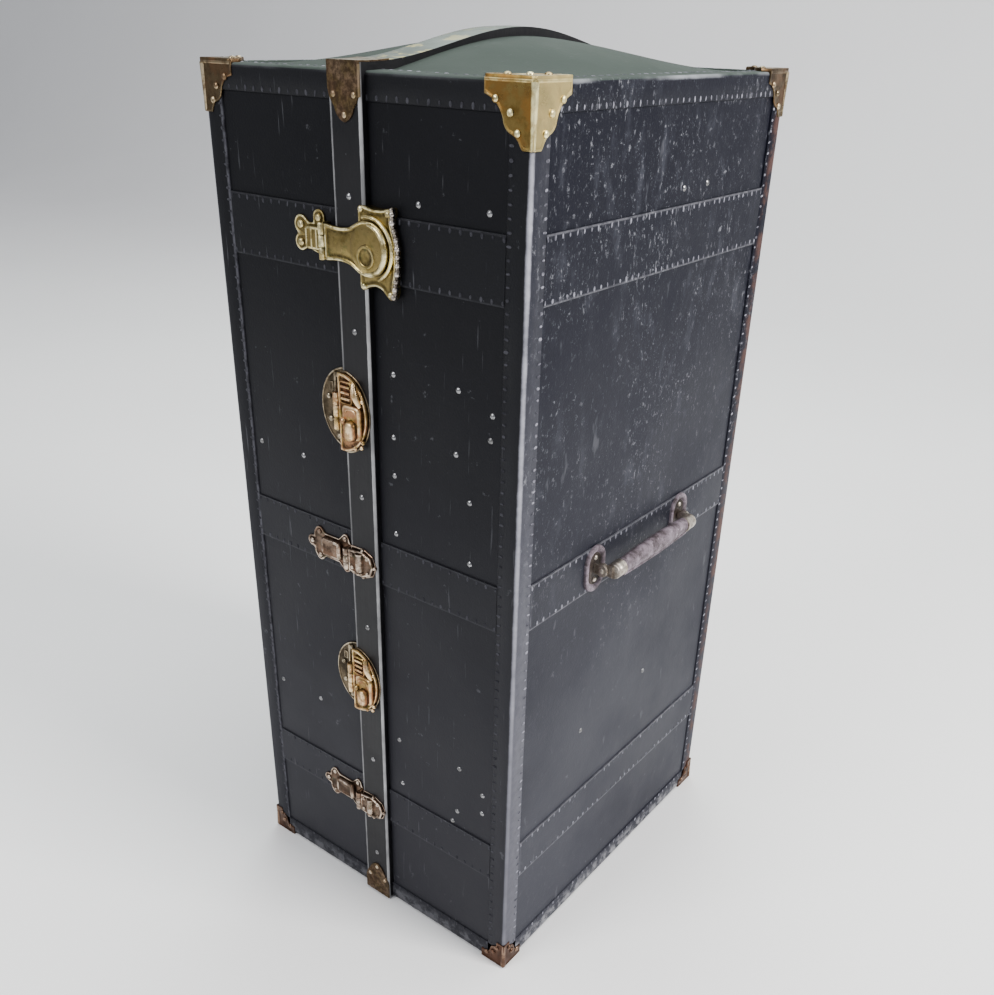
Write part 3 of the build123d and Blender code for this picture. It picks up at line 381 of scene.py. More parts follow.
# %% Painted strip with rubbed edges
def strip_paint():
    """Black paint, worn to bare metal along the front arrises, with a painted grey-green reflection
    over the top.
    """
    f = Finish("painted_closing_strip", specular=0.4)
    middle = (strip_left + strip_right) / 2 * MM
    half = (strip_right - strip_left) / 2 * MM
    off = f.absolute(f.minus(f.axes["X"], middle))
    ragged = f.times(f.noise(60.0, 4, 0.7), 0.0016)
    rail = f.band(f.minus(off, ragged), half - 0.0048, half - 0.0036)
    edge_y = (front_skin - strip_face) * MM
    rail = f.times(rail, f.band(f.axes["Y"], edge_y + 0.0032, edge_y + 0.0012))
    rail = f.times(rail, f.band(f.axes["X"], -0.01, 0.01, 0.45, 1.0))
    patchy = f.noise(14.0, 4, 0.6)
    colour = f.mix(patchy, (0.005, 0.005, 0.0065), (0.014, 0.0135, 0.016))
    strength = f.band(f.noise(16.0, 3, 0.6), 0.3, 0.7, 0.45, 1.0)
    colour = f.mix(f.times(rail, strength), colour, (0.5, 0.5, 0.51))
    over_top = f.band(f.axes["Z"], 1.121, 1.124)
    face_up = f.times(over_top, f.band(off, half - 0.0003, half - 0.0012))
    # Painted reflection: the strip's upward face over the top gets a grey-green tone that stands in
    # for the sky reflected in it.
    colour = f.mix(f.times(face_up, 0.8), colour, (0.06, 0.075, 0.064))
    gold = f.times(face_up, f.band(f.axes["Y"], 0.0, -0.2))
    gold = f.times(gold, f.band(f.noise(34.0, 4, 0.65), 0.5, 0.6))
    colour = f.mix(gold, colour, (0.4, 0.34, 0.12))
    marks = f.band(f.noise(85.0, 4, 0.7), 0.68, 0.76)
    colour = f.mix(f.times(marks, 0.5), colour, (0.16, 0.16, 0.17))
    f.bump(f.noise(180.0, 3, 0.6), 0.0004, 0.35)
    f.bump(f.noise(1.0, 2, 0.5, f.stretched(160, 160, 12)), 0.0006, 0.3)
    return f.done(colour, f.band(patchy, 0.3, 0.7, 0.34, 0.48))


strip_finish = strip_paint()


# %% [markdown]
# ## Metals
# The fittings are old brass, bronze and plated steel. Metal gets its life from patchy
# tarnish, from raised edges that hands have polished, and from dirt in the hollows. The
# pressed pieces carry an attribute named polish, 1 on a raised edge and 0 in a hollow.

# %% Old metal finishes
def old_metal(
    name, bright, dull, dirt, rough=(0.24, 0.5), grain=130.0, raised=True,
    crest=None, warm=None, verdigris=None, lit_side_colour=None,
):
    """Patchy metal; raised pieces are polished on their crests and dirty in their hollows."""
    f = Finish(name, metallic=1.0)
    patchy = f.noise(grain * 0.35, 5, 0.65)
    speck = f.noise(grain * 2.4, 4, 0.7)
    colour = f.mix(f.band(patchy, 0.36, 0.64), dull, bright)
    if warm:
        colour = f.mix(f.band(f.noise(48.0, 4, 0.65), 0.44, 0.6, 0.0, 0.7), colour, warm)
    # Painted highlight: the face on the side of the case is made paler, where the light falls on
    # it.
    if lit_side_colour:
        gap_x, gap_y, gap_z = edge_gaps(f)
        colour = f.mix(f.band(gap_x, 0.004, 0.001, 0.0, 0.7), colour, lit_side_colour)
    if raised:
        polish = f.attribute("polish")
        uneven = f.band(f.noise(grain * 0.45, 4, 0.7), 0.4, 0.58, 0.12, 1.0)
        handled = f.times(f.band(polish, 0.6, 1.0, 0.0, 0.95), uneven)
        colour = f.mix(handled, colour, crest or tuple(min(1.0, 1.9 * c) for c in bright))
        shade = f.band(polish, 0.45, 0.1)
    else:
        shade = f.band(speck, 0.5, 0.7, 0.1, 0.6)
    grime = f.times(shade, f.band(speck, 0.3, 0.62, 0.35, 0.95))
    colour = f.mix(f.times(grime, 0.92), colour, dirt)
    if verdigris:
        green = f.times(f.band(f.noise(grain * 0.6, 4, 0.7), 0.56, 0.68), 0.55)
        colour = f.mix(green, colour, verdigris)
    f.bump(speck, 0.0004, 0.28)
    f.bump(f.noise(grain * 0.7, 3, 0.6), 0.0008, 0.22)
    smooth, dulled = rough
    base_rough = f.band(patchy, 0.3, 0.7, dulled, smooth)
    return f.done(colour, f.plus(base_rough, f.times(grime, 0.12)))


# The corner brass has a painted highlight on its side face.
brass = old_metal(
    "corner_brass", (0.34, 0.25, 0.1), (0.15, 0.1, 0.035), (0.045, 0.028, 0.012),
    warm=(0.3, 0.17, 0.06), crest=(0.92, 0.85, 0.52), lit_side_colour=(0.7, 0.58, 0.3),
)
bronze = old_metal(
    "dark_bronze", (0.2, 0.15, 0.09), (0.075, 0.052, 0.032), (0.022, 0.015, 0.01),
    warm=(0.2, 0.12, 0.07), crest=(0.62, 0.52, 0.36),
)
copper = old_metal(
    "worn_copper", (0.17, 0.11, 0.08), (0.07, 0.042, 0.032), (0.02, 0.014, 0.011),
    warm=(0.12, 0.06, 0.04), crest=(0.34, 0.24, 0.18),
)
shield_metal = old_metal(
    "shield_bronze", (0.5, 0.37, 0.25), (0.24, 0.16, 0.1), (0.06, 0.04, 0.028),
    grain=60.0, warm=(0.22, 0.17, 0.07), crest=(0.8, 0.7, 0.54),
)

# %% Metals of the closures
clasp_metal = old_metal(
    "clasp_brass", (0.38, 0.3, 0.13), (0.16, 0.125, 0.05), (0.035, 0.026, 0.012),
    warm=(0.3, 0.235, 0.11), crest=(0.86, 0.78, 0.5), verdigris=(0.13, 0.14, 0.06),
)
rope_metal = old_metal(
    "silvered_brass", (0.4, 0.36, 0.31), (0.14, 0.12, 0.1), (0.05, 0.04, 0.03),
    grain=260.0, crest=(0.72, 0.67, 0.62),
)
lock_metal = old_metal(
    "lock_brass", (0.5, 0.36, 0.17), (0.2, 0.12, 0.05), (0.028, 0.013, 0.01),
    warm=(0.42, 0.22, 0.14), crest=(0.88, 0.7, 0.46), verdigris=(0.2, 0.17, 0.035),
)
plate_metal = old_metal(
    "tarnished_plate", (0.19, 0.15, 0.1), (0.065, 0.05, 0.032), (0.02, 0.016, 0.012),
    crest=(0.5, 0.44, 0.34),
)
latch_metal = old_metal(
    "latch_bronze", (0.26, 0.19, 0.145), (0.08, 0.055, 0.04), (0.018, 0.012, 0.01),
    warm=(0.2, 0.12, 0.08), crest=(0.66, 0.57, 0.48), verdigris=(0.08, 0.085, 0.05),
)


# %% Plain metals, with no polished crests
def plain_metal(name, bright, dull, dirt, rough, grain):
    return old_metal(name, bright, dull, dirt, rough, grain, raised=False)


rivet_metal = plain_metal(
    "rivet_steel", (0.38, 0.38, 0.39), (0.2, 0.2, 0.2), (0.09, 0.085, 0.08), (0.2, 0.4), 400.0
)
hinge_metal = plain_metal(
    "hinge_steel", (0.55, 0.54, 0.52), (0.28, 0.25, 0.23), (0.1, 0.06, 0.04), (0.3, 0.5), 160.0
)
trolley_metal = plain_metal(
    "nickelled_steel", (0.8, 0.79, 0.76), (0.55, 0.53, 0.5), (0.2, 0.17, 0.14), (0.18, 0.36), 160.0
)
handle_metal = plain_metal(
    "handle_metal", (0.66, 0.61, 0.54), (0.34, 0.3, 0.26), (0.1, 0.085, 0.07), (0.3, 0.5), 220.0
)
rim_metal = plain_metal(
    "painted_rim", (0.12, 0.12, 0.13), (0.05, 0.05, 0.055), (0.02, 0.02, 0.02), (0.35, 0.55), 120.0
)


# %% Leather, thread, cloth and wood
def leather(name, base, dark, pale):
    """Cracked leather, pale where it has rubbed."""
    f = Finish(name, specular=0.35)
    patchy = f.noise(70.0, 4, 0.65)
    colour = f.mix(f.band(patchy, 0.32, 0.66), dark, base)
    rubbed = f.band(f.noise(160.0, 4, 0.7), 0.56, 0.72)
    colour = f.mix(f.times(rubbed, 0.55), colour, pale)
    cracks = f.cells(620.0, "DISTANCE_TO_EDGE")
    f.bump(f.band(cracks, 0.0, 0.12), 0.0003, 0.6)
    f.bump(f.noise(260.0, 3, 0.6), 0.0005, 0.35)
    return f.done(colour, f.band(patchy, 0.3, 0.7, 0.62, 0.42))


def thread(name, colour_a, colour_b):
    """Waxed thread, with painted shade that darkens it on the front face."""
    f = Finish(name, specular=0.2)
    worn = f.noise(60.0, 3, 0.6)
    twist = f.noise(1.0, 2, 0.5, f.stretched(2600, 2600, 900))
    f.bump(twist, 0.0002, 0.6)
    colour = f.mix(f.band(worn, 0.38, 0.6), colour_a, colour_b)
    # Painted shade: the thread is darkened on the front face, which stands in the shade.
    front_shade = f.band(f.axes["Y"], -0.2585, -0.26)
    colour = f.mix(f.times(front_shade, 0.8), colour, tuple(0.28 * c for c in colour_a))
    return f.done(colour, 0.75)


def cloth(name, warp_colour, weft_colour, stripe):
    """A plain weave with a narrow stripe and old stains."""
    f = Finish(name, specular=0.15)
    threads = 3000.0
    warp = f.maths("SINE", f.times(f.axes["Y"], threads))
    weft = f.maths("SINE", f.times(f.plus(f.axes["Z"], f.axes["X"]), threads))
    weave = f.times(warp, weft)
    colour = f.mix(f.band(weave, -0.6, 0.6), warp_colour, weft_colour)
    bars = f.maths("SINE", f.times(f.plus(f.axes["Y"], f.axes["X"]), 420.0))
    colour = f.mix(f.times(f.band(bars, 0.78, 0.92), 0.45), colour, stripe)
    stain = f.band(f.noise(6.0, 5, 0.65), 0.5, 0.75)
    colour = f.mix(f.times(stain, 0.3), colour, (0.16, 0.11, 0.06))
    f.bump(weave, 0.0002, 0.5)
    return f.done(colour, 0.85)


def timber(name, light, dark):
    """Wood whose grain runs from front to rear, along y."""
    f = Finish(name, specular=0.45)
    rings = f.noise(1.0, 5, 0.6, f.stretched(90, 6, 90), 0.6)
    pores = f.noise(1.0, 3, 0.6, f.stretched(540, 36, 540))
    colour = f.mix(f.band(rings, 0.35, 0.65), light, dark)
    colour = f.mix(f.times(f.band(pores, 0.55, 0.7), 0.3), colour, dark)
    f.bump(pores, 0.0003, 0.3)
    return f.done(colour, f.band(rings, 0.3, 0.7, 0.32, 0.45))


dark_leather = leather(
    "dark_loop_leather", (0.06, 0.045, 0.038), (0.02, 0.015, 0.012), (0.16, 0.13, 0.12)
)
grip_leather = leather(
    "taupe_grip_leather", (0.24, 0.2, 0.235), (0.07, 0.055, 0.06), (0.5, 0.45, 0.5)
)
pull_leather = leather(
    "drawer_pull_leather", (0.16, 0.085, 0.045), (0.07, 0.035, 0.02), (0.3, 0.19, 0.11)
)
seam_thread = thread("pale_seam_thread", (0.075, 0.075, 0.09), (0.27, 0.27, 0.31))
pull_thread = thread("waxed_pull_thread", (0.4, 0.33, 0.22), (0.55, 0.47, 0.34))
lining_cloth = cloth("lining_cloth", (0.42, 0.35, 0.25), (0.34, 0.28, 0.19), (0.2, 0.08, 0.06))
drawer_cloth = cloth("drawer_cloth", (0.38, 0.32, 0.23), (0.3, 0.25, 0.18), (0.12, 0.14, 0.2))
shelf_wood = timber("shelf_board", (0.34, 0.24, 0.14), (0.2, 0.12, 0.06))
hanger_wood = timber("varnished_beech", (0.5, 0.3, 0.14), (0.3, 0.16, 0.07))


# %% Give every CAD node its finish
def paint(names, material):
    """Puts one finish on CAD nodes."""
    for name in names:
        mesh = nodes[name].data
        mesh.materials.clear()
        mesh.materials.append(material)


halves = ("drawer_half", "hanging_half")
panels = ("side_panel", "front_panel", "rear_panel", "bottom_panel", "top_panel")
paint([f"{half}_{panel}" for half in halves for panel in panels], board)
paint([f"{half}_{part}" for half in halves for part in ("edge_binding", "bands")], binding)
paint([f"{half}_closing_rim" for half in halves], rim_metal)
paint([f"{half}_lining" for half in halves], lining_cloth)
paint([f"{half}_corner_caps" for half in halves], bronze)
paint(["strip_end_caps"], shield_metal)
paint([f"{half}_rivets" for half in halves] + ["strip_rivets"], rivet_metal)
paint([f"{half}_hinge_leaves" for half in halves] + ["hinge_pins"], hinge_metal)
paint(["closing_strip_front", "closing_strip_top"], strip_finish)
paint(["clasp_base", "clasp_hasp", "clasp_strike", "clasp_guard"], clasp_metal)
paint(["lock_bases", "lock_strikes", "lock_hasp_upper", "lock_hasp_lower"], lock_metal)
paint(["latch_bases", "latch_strikes", "latch_lever_middle", "latch_lever_lower"], latch_metal)
for side in ("right", "left"):
    paint([f"{side}_handle_brackets", f"{side}_handle_ferrules"], handle_metal)
paint(["right_handle_grip", "left_handle_grip"], grip_leather)
paint(["drawer_shelves"], shelf_wood)
paint([f"drawer_{k}" for k in range(1, 5)], drawer_cloth)
paint([f"drawer_{k}_pull" for k in range(1, 5)], pull_leather)
paint(["trolley_channels", "hanger_trolley"], trolley_metal)
paint(["garment_hangers"], hanger_wood)


# %% [markdown]
# ## Three ways to make a fitting
# A pressed piece starts from a field, a function that is negative inside its outline. Rays
# from a centre find the outline, then the lines a little inside it, and each line gets a
# height. That gives a stamped plate with a rolled edge and a hollow. A turned piece spins a
# profile round an axis, as on a lathe. A bead is a thin round moulding along a path.

# %% Fields for outlines
# Each maker returns a field in x and z, in mm: below zero inside the outline.
def circle(cx, cz, radius):
    return lambda x, z: np.hypot(x - cx, z - cz) - radius


def ellipse(cx, cz, a, b):
    return lambda x, z: (np.hypot((x - cx) / a, (z - cz) / b) - 1) * min(a, b)


def plank(cx, cz, half_x, half_z, corner=0.0):
    """A rectangle about its middle, with rounded corners."""
    def field(x, z):
        qx = np.abs(x - cx) - half_x + corner
        qz = np.abs(z - cz) - half_z + corner
        outside = np.hypot(np.maximum(qx, 0), np.maximum(qz, 0))
        return outside + np.minimum(np.maximum(qx, qz), 0) - corner
    return field


def polygon(points):
    """The distance to a closed outline of straight sides."""
    corners = np.array(points, float)

    def field(x, z):
        p = np.stack([np.asarray(x, float), np.asarray(z, float)], -1)
        best = np.full(p.shape[:-1], 1e9)
        inside = np.zeros(p.shape[:-1], bool)
        for a, b in zip(corners, np.roll(corners, -1, 0)):
            e, w = b - a, p - a
            t = np.clip((w @ e) / max(e @ e, 1e-9), 0, 1)
            best = np.minimum(best, np.linalg.norm(w - t[..., None] * e, axis=-1))
            crosses = (a[1] > p[..., 1]) != (b[1] > p[..., 1])
            slope = e[0] * (p[..., 1] - a[1]) / (e[1] if abs(e[1]) > 1e-9 else 1e-9) + a[0]
            inside ^= crosses & (p[..., 0] < slope)
        return np.where(inside, -best, best)
    return field


def melted(*fields, blend=3.0):
    """Several shapes joined with soft inner corners."""
    def field(x, z):
        total = fields[0](x, z)
        for other in fields[1:]:
            d = other(x, z)
            h = np.clip(0.5 + 0.5 * (d - total) / blend, 0, 1)
            total = d * (1 - h) + total * h - blend * h * (1 - h)
        return total
    return field


def kept_where(field, condition):
    """A shape cut off where a condition is positive."""
    return lambda x, z: np.maximum(field(x, z), condition(x, z))


# %% Where a fitting sits
def on_front(x, z, out):
    """A point at a stand-off from the covering of the front face."""
    return (x * MM, (front_skin - out) * MM, z * MM)


def on_side(turn):
    """Places points on the side at turn: +1 is the side with the photographed handle."""
    return lambda y, z, out: (turn * (half_width - trim + out) * MM, y * MM, z * MM)


def on_rear(x, z, out):
    """A point at a stand-off from the covering of the rear face."""
    return (x * MM, (rear_skin + out) * MM, z * MM)


# %% The piece maker
class Piece:
    """A mesh under construction, made of closed shells."""

    def __init__(self):
        self.mesh = bmesh.new()
        self.polish = self.mesh.verts.layers.float.new("polish")

    def ring(self, points, polish=0.5):
        """New corners in a row, all with one value of polish."""
        made = []
        for point in points:
            vert = self.mesh.verts.new(point)
            vert[self.polish] = polish
            made.append(vert)
        return made

    def join(self, first, second):
        """A belt of faces between two closed rings."""
        count = len(first)
        for i in range(count):
            j = (i + 1) % count
            self.mesh.faces.new((first[i], first[j], second[j], second[i]))

    def cap(self, ring, point=None):
        """Closes a ring with one face, or with a fan to a point."""
        if point is None:
            self.mesh.faces.new(ring)
            return
        middle = self.mesh.verts.new(point)
        middle[self.polish] = ring[0][self.polish]
        for i in range(len(ring)):
            self.mesh.faces.new((ring[i], ring[(i + 1) % len(ring)], middle))

    def pressed(self, field, centre, profile, place=on_front, count=96, far=140.0):
        """A stamped plate: profile is (inset, height, polish) from its outer foot inwards."""
        cx, cz = centre
        angle = np.linspace(0, tau, count, endpoint=False)
        dx, dz = np.cos(angle), np.sin(angle)
        reach = np.linspace(far, 0.0, 900)
        values = field(cx + reach[:, None] * dx, cz + reach[:, None] * dz)
        rings = []
        for inset, height, polish in profile:
            hit = np.argmax(values <= -inset, axis=0)
            low, high = reach[hit], reach[np.maximum(hit - 1, 0)]
            for _ in range(24):
                middle = (low + high) / 2
                inside = field(cx + middle * dx, cz + middle * dz) <= -inset
                low, high = np.where(inside, middle, low), np.where(inside, high, middle)
            points = [place(cx + r * a, cz + r * b, height) for r, a, b in zip(low, dx, dz)]
            rings.append(self.ring(points, polish))
        for first, second in zip(rings, rings[1:]):
            self.join(first, second)
        self.cap(rings[0])
        self.cap(rings[-1], place(cx, cz, profile[-1][1]))
        return self

    def turned(self, profile, foot, axis, count=28):
        """A lathe piece: profile is (distance along the axis, radius, polish) in mm."""
        foot, axis = Vector(foot), Vector(axis).normalized()
        side = axis.orthogonal().normalized()
        other = axis.cross(side)
        rings = []
        for along, radius, polish in profile:
            centre = foot + axis * along * MM
            rings.append(self.ring([
                centre + (side * cos(tau * i / count) + other * sin(tau * i / count)) * radius * MM
                for i in range(count)
            ], polish))
        for first, second in zip(rings, rings[1:]):
            self.join(first, second)
        self.cap(rings[0])
        self.cap(rings[-1])
        return self

    def bead(self, path, radius, polish=0.9, count=8, flat=1.0, up=(0.12, 0.31, 0.94)):
        """A round moulding along points in metres; radius may be a function from 0 to 1."""
        points = [Vector(p) for p in path]
        last = len(points) - 1
        rings = []
        for i, point in enumerate(points):
            along = (points[min(i + 1, last)] - points[max(i - 1, 0)]).normalized()
            side = along.cross(Vector(up)).normalized()
            other = side.cross(along).normalized()
            size = radius(i / last) if callable(radius) else radius
            rings.append(self.ring([
                point + (side * cos(a) + other * sin(a) * flat) * size * MM
                for a in (tau * k / count for k in range(count))
            ], polish))
        for first, second in zip(rings, rings[1:]):
            self.join(first, second)
        self.cap(rings[0])
        self.cap(rings[-1])
        return self

    def swept(self, sections):
        """One skin through a row of closed sections, given as points in metres."""
        rings = [self.ring(points, 0.5) for points in sections]
        for first, second in zip(rings, rings[1:]):
            self.join(first, second)
        self.cap(rings[0])
        self.cap(rings[-1])

    def head(self, point, normal, radius, rise, polish=0.95, sunk=0.6):
        """A rivet or screw head that sits on a surface."""
        profile = [(-sunk, radius, 0.3), (0.12 * rise, radius, 0.5)]
        for k in range(1, 5):
            a = pi / 2 * k / 5
            profile.append((rise * (0.12 + 0.88 * sin(a)), radius * cos(a) ** 0.8, polish))
        profile.append((rise, radius * 0.12, polish))
        return self.turned(profile, point, normal, 14)

    def finish(self, name, material, body, replaced=(), slot=None, flat_below=38):
        """Makes the object, and says which body carries it and what it replaces."""
        bmesh.ops.recalc_face_normals(self.mesh, faces=self.mesh.faces)
        data = bpy.data.meshes.new(name)
        self.mesh.to_mesh(data)
        self.mesh.free()
        data.materials.append(material)
        made = bpy.data.objects.new(name, data)
        bpy.context.scene.collection.objects.link(made)
        data.shade_smooth()
        data.set_sharp_from_angle(angle=radians(flat_below))
        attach(made, body)
        if replaced:
            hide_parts(*replaced)
        print(name, len(data.polygons), "faces")


# %% Plain paths and profiles used by several pieces
def arc_points(place, cx, cz, radius, start, end, out, count=24, squash=1.0):
    """Points of an arc on a face, at one stand-off."""
    return [
        place(cx + radius * cos(a), cz + squash * radius * sin(a), out)
        for a in np.linspace(radians(start), radians(end), count)
    ]


def rolled_edge(foot, top, rim=2.6, hollow=0.8, rounding=1.0):
    """The profile of a stamped plate with a raised, rounded edge."""
    return [
        (0.0, foot, 0.2), (0.0, top - rounding, 0.6), (rounding * 0.3, top - rounding * 0.3, 0.9),
        (rounding, top, 1.0), (rim * 0.75, top, 1.0), (rim, top - hollow * 0.35, 0.6),
        (rim + hollow, top - hollow, 0.15), (rim + hollow + 1.4, top - hollow, 0.3),
    ]


def soft_edge(foot, top, rounding=1.5):
    """The profile of a block with a rounded edge."""
    steps = [(0.0, foot, 0.3)]
    for k in range(4):
        a = pi / 2 * k / 3
        steps.append((rounding * (1 - cos(a)), top - rounding * (1 - sin(a)), 0.4 + 0.5 * sin(a)))
    steps.append((rounding + 1.2, top, 0.35))
    return steps


# %% [markdown]
# ## The bindings
# Folded strips of fibre cover every outer edge. Years of handling have rounded and bleached
# the fold, so each binding is an angle section with a rounded corner, swept along its edge.

# %% Swept bindings
def dome(x, y):
    """Height of the covering on the domed top, in mm."""
    across_x = sin(pi * min(max((x + half_width) / (2 * half_width), 0), 1)) ** 2
    across_y = sin(pi * min(max((y - front_edge) / depth, 0), 1)) ** 2
    return rim_height + dome_rise * across_x * across_y


def angle_section(leg, thick, corner, steps=5):
    """An L section in (a, b): its outer corner at 0, 0, its legs along +a and +b."""
    outer = [(leg, thick), (leg, thick * 0.35), (leg - 0.6, 0.0)]
    for k in range(steps + 1):
        t = pi / 2 * k / steps
        outer.append((corner * (1 - sin(t)), corner * (1 - cos(t))))
    outer += [(0.0, leg - 0.6), (thick * 0.35, leg), (thick, leg)]
    return outer + [(thick, thick)]


section = angle_section(28.0, trim, 4.0)


def bind_half(half, side, opening_x):
    """The bindings of one half: two upright, and those along its top and foot."""
    piece = Piece()
    edge_x = side * half_width

    def at_top(x, y, b):
        return (x * MM, y * MM, (dome(x, y) + trim - b) * MM)

    def at_foot(x, y, b):
        return (x * MM, y * MM, (foot_height + b) * MM)

    across = np.linspace(opening_x, edge_x - side * 1.0, 20)
    for edge_y, inward in ((front_edge, 1), (rear_edge, -1)):
        piece.swept([
            [((edge_x - side * a) * MM, (edge_y + inward * b) * MM, z * MM) for a, b in section]
            for z in np.linspace(2.2, 1119.6, 24)
        ])
        for place in (at_top, at_foot):
            piece.swept([[place(x, edge_y + inward * a, b) for a, b in section] for x in across])
    along = np.linspace(front_edge + 1.0, rear_edge - 1.0, 40)
    for place in (at_top, at_foot):
        piece.swept([[place(edge_x - side * a, y, b) for a, b in section] for y in along])
    name = f"{half}_rounded_binding"
    piece.finish(name, binding, half, [f"{half}_edge_binding"], "fibre_binding", 50)


openings = {"drawer_half": parting_x + 0.15, "hanging_half": parting_x - 0.15}
sides = {"drawer_half": 1, "hanging_half": -1}
for half in halves:
    bind_half(half, sides[half], openings[half])

# %% [markdown]
# ## The swollen top
# The covering of the lid has risen into one broad swell, fuller than the board under it, so
# the closing strip lies half sunk in it. Each half gets a thin skin over its board.

# %% Skin of the top
def swell(x, y):
    """Height of the risen covering in mm: a sine each way, where the board's are squared."""
    inset = 28.0
    across_x = sin(pi * min(max((x + half_width - inset) / (2 * half_width - 2 * inset), 0), 1))
    across_y = sin(pi * min(max((y - front_edge - inset) / (depth - 2 * inset), 0), 1))
    return max(dome(x, y) + 0.3, rim_height + dome_rise * max(across_x * across_y, 0) ** 1.1)


skin_inset = 27.0
skin_spans = {
    "drawer_half": (parting_x + 0.2, half_width - skin_inset),
    "hanging_half": (-half_width + skin_inset, parting_x - 0.2),
}
for half, (low_x, high_x) in skin_spans.items():
    skin = Piece()
    across = np.linspace(low_x, high_x, 40)
    rows = []
    for y in np.linspace(front_edge + skin_inset, rear_edge - skin_inset, 72):
        over = [(x * MM, y * MM, swell(x, y) * MM) for x in across]
        under = [(x * MM, y * MM, (dome(x, y) - 0.8) * MM) for x in across[::-1]]
        rows.append(over + under)
    skin.swept(rows)
    skin.finish(f"{half}_top_skin", board, half, slot="covered_board", flat_below=50)
print("top skin at the middle", swell(0, middle_y))

# %% [markdown]
# ## Stitches
# Pale thread holds the bindings and bands. There are thousands of stitches, all alike, along
# straight seams, so Geometry Nodes make them: the seams are edges that know which way their
# face looks, and the tree puts a small rounded stitch across each seam every few millimetres.


# %% Seams as edges
def seams(half):
    """Seam lines of one half as (start, end, facing) in mm, split where they bend."""
    side = sides[half]
    edge_x = side * half_width
    inset = 24.3
    seam_x = edge_x - side * inset
    begin = strip_right + 1.5 if side > 0 else openings[half]
    lines = []
    top_z, low_z = rim_height + trim - inset, 3.6 + inset
    for y, facing in ((front_edge, (0, -1, 0)), (rear_edge, (0, 1, 0))):
        start = begin if y < 0 else openings[half] + side * 6
        lines.append(((seam_x, y, low_z + 5), (seam_x, y, top_z - 5), facing))
        for z in (top_z, low_z):
            lines.append(((start, y, z), (seam_x - side * 5, y, z), facing))
        for low, high in bands.values():
            for z in (low + 4.2, high - 4.2):
                lines.append(((start, y, z), (seam_x - side * 6, y, z), facing))
    near, far = front_edge + inset, rear_edge - inset
    outward = (side, 0, 0)
    for y in (near, far):
        lines.append(((edge_x, y, low_z + 5), (edge_x, y, top_z - 5), outward))
    for z in (top_z, low_z):
        lines.append(((edge_x, near + 5, z), (edge_x, far - 5, z), outward))
    for low, high in bands.values():
        for z in (low + 4.2, high - 4.2):
            lines.append(((edge_x, near + 6, z), (edge_x, far - 6, z), outward))
    for y in (near, far):
        points = np.linspace(openings[half] + side * (47 if side > 0 else 3), seam_x - side * 3, 16)
        for a, b in zip(points, points[1:]):
            lines.append(((a, y, dome(a, y) + trim), (b, y, dome(b, y) + trim), (0, 0, 1)))
    points = np.linspace(near + 4, far - 4, 34)
    for a, b in zip(points, points[1:]):
        lines.append((
            (seam_x, a, dome(seam_x, a) + trim), (seam_x, b, dome(seam_x, b) + trim), (0, 0, 1)
        ))
    return lines


def seam_object(half):
    """The seam lines as loose edges that carry the way their face looks."""
    mesh = bmesh.new()
    facing = mesh.verts.layers.float_vector.new("facing")
    for start, end, normal in seams(half):
        pair = []
        for point in (start, end):
            vert = mesh.verts.new(Vector(point) * MM)
            vert[facing] = Vector(normal)
            pair.append(vert)
        mesh.edges.new(pair)
    data = bpy.data.meshes.new(f"{half}_seams")
    mesh.to_mesh(data)
    mesh.free()
    made = bpy.data.objects.new(f"{half}_seams", data)
    bpy.context.scene.collection.objects.link(made)
    return made


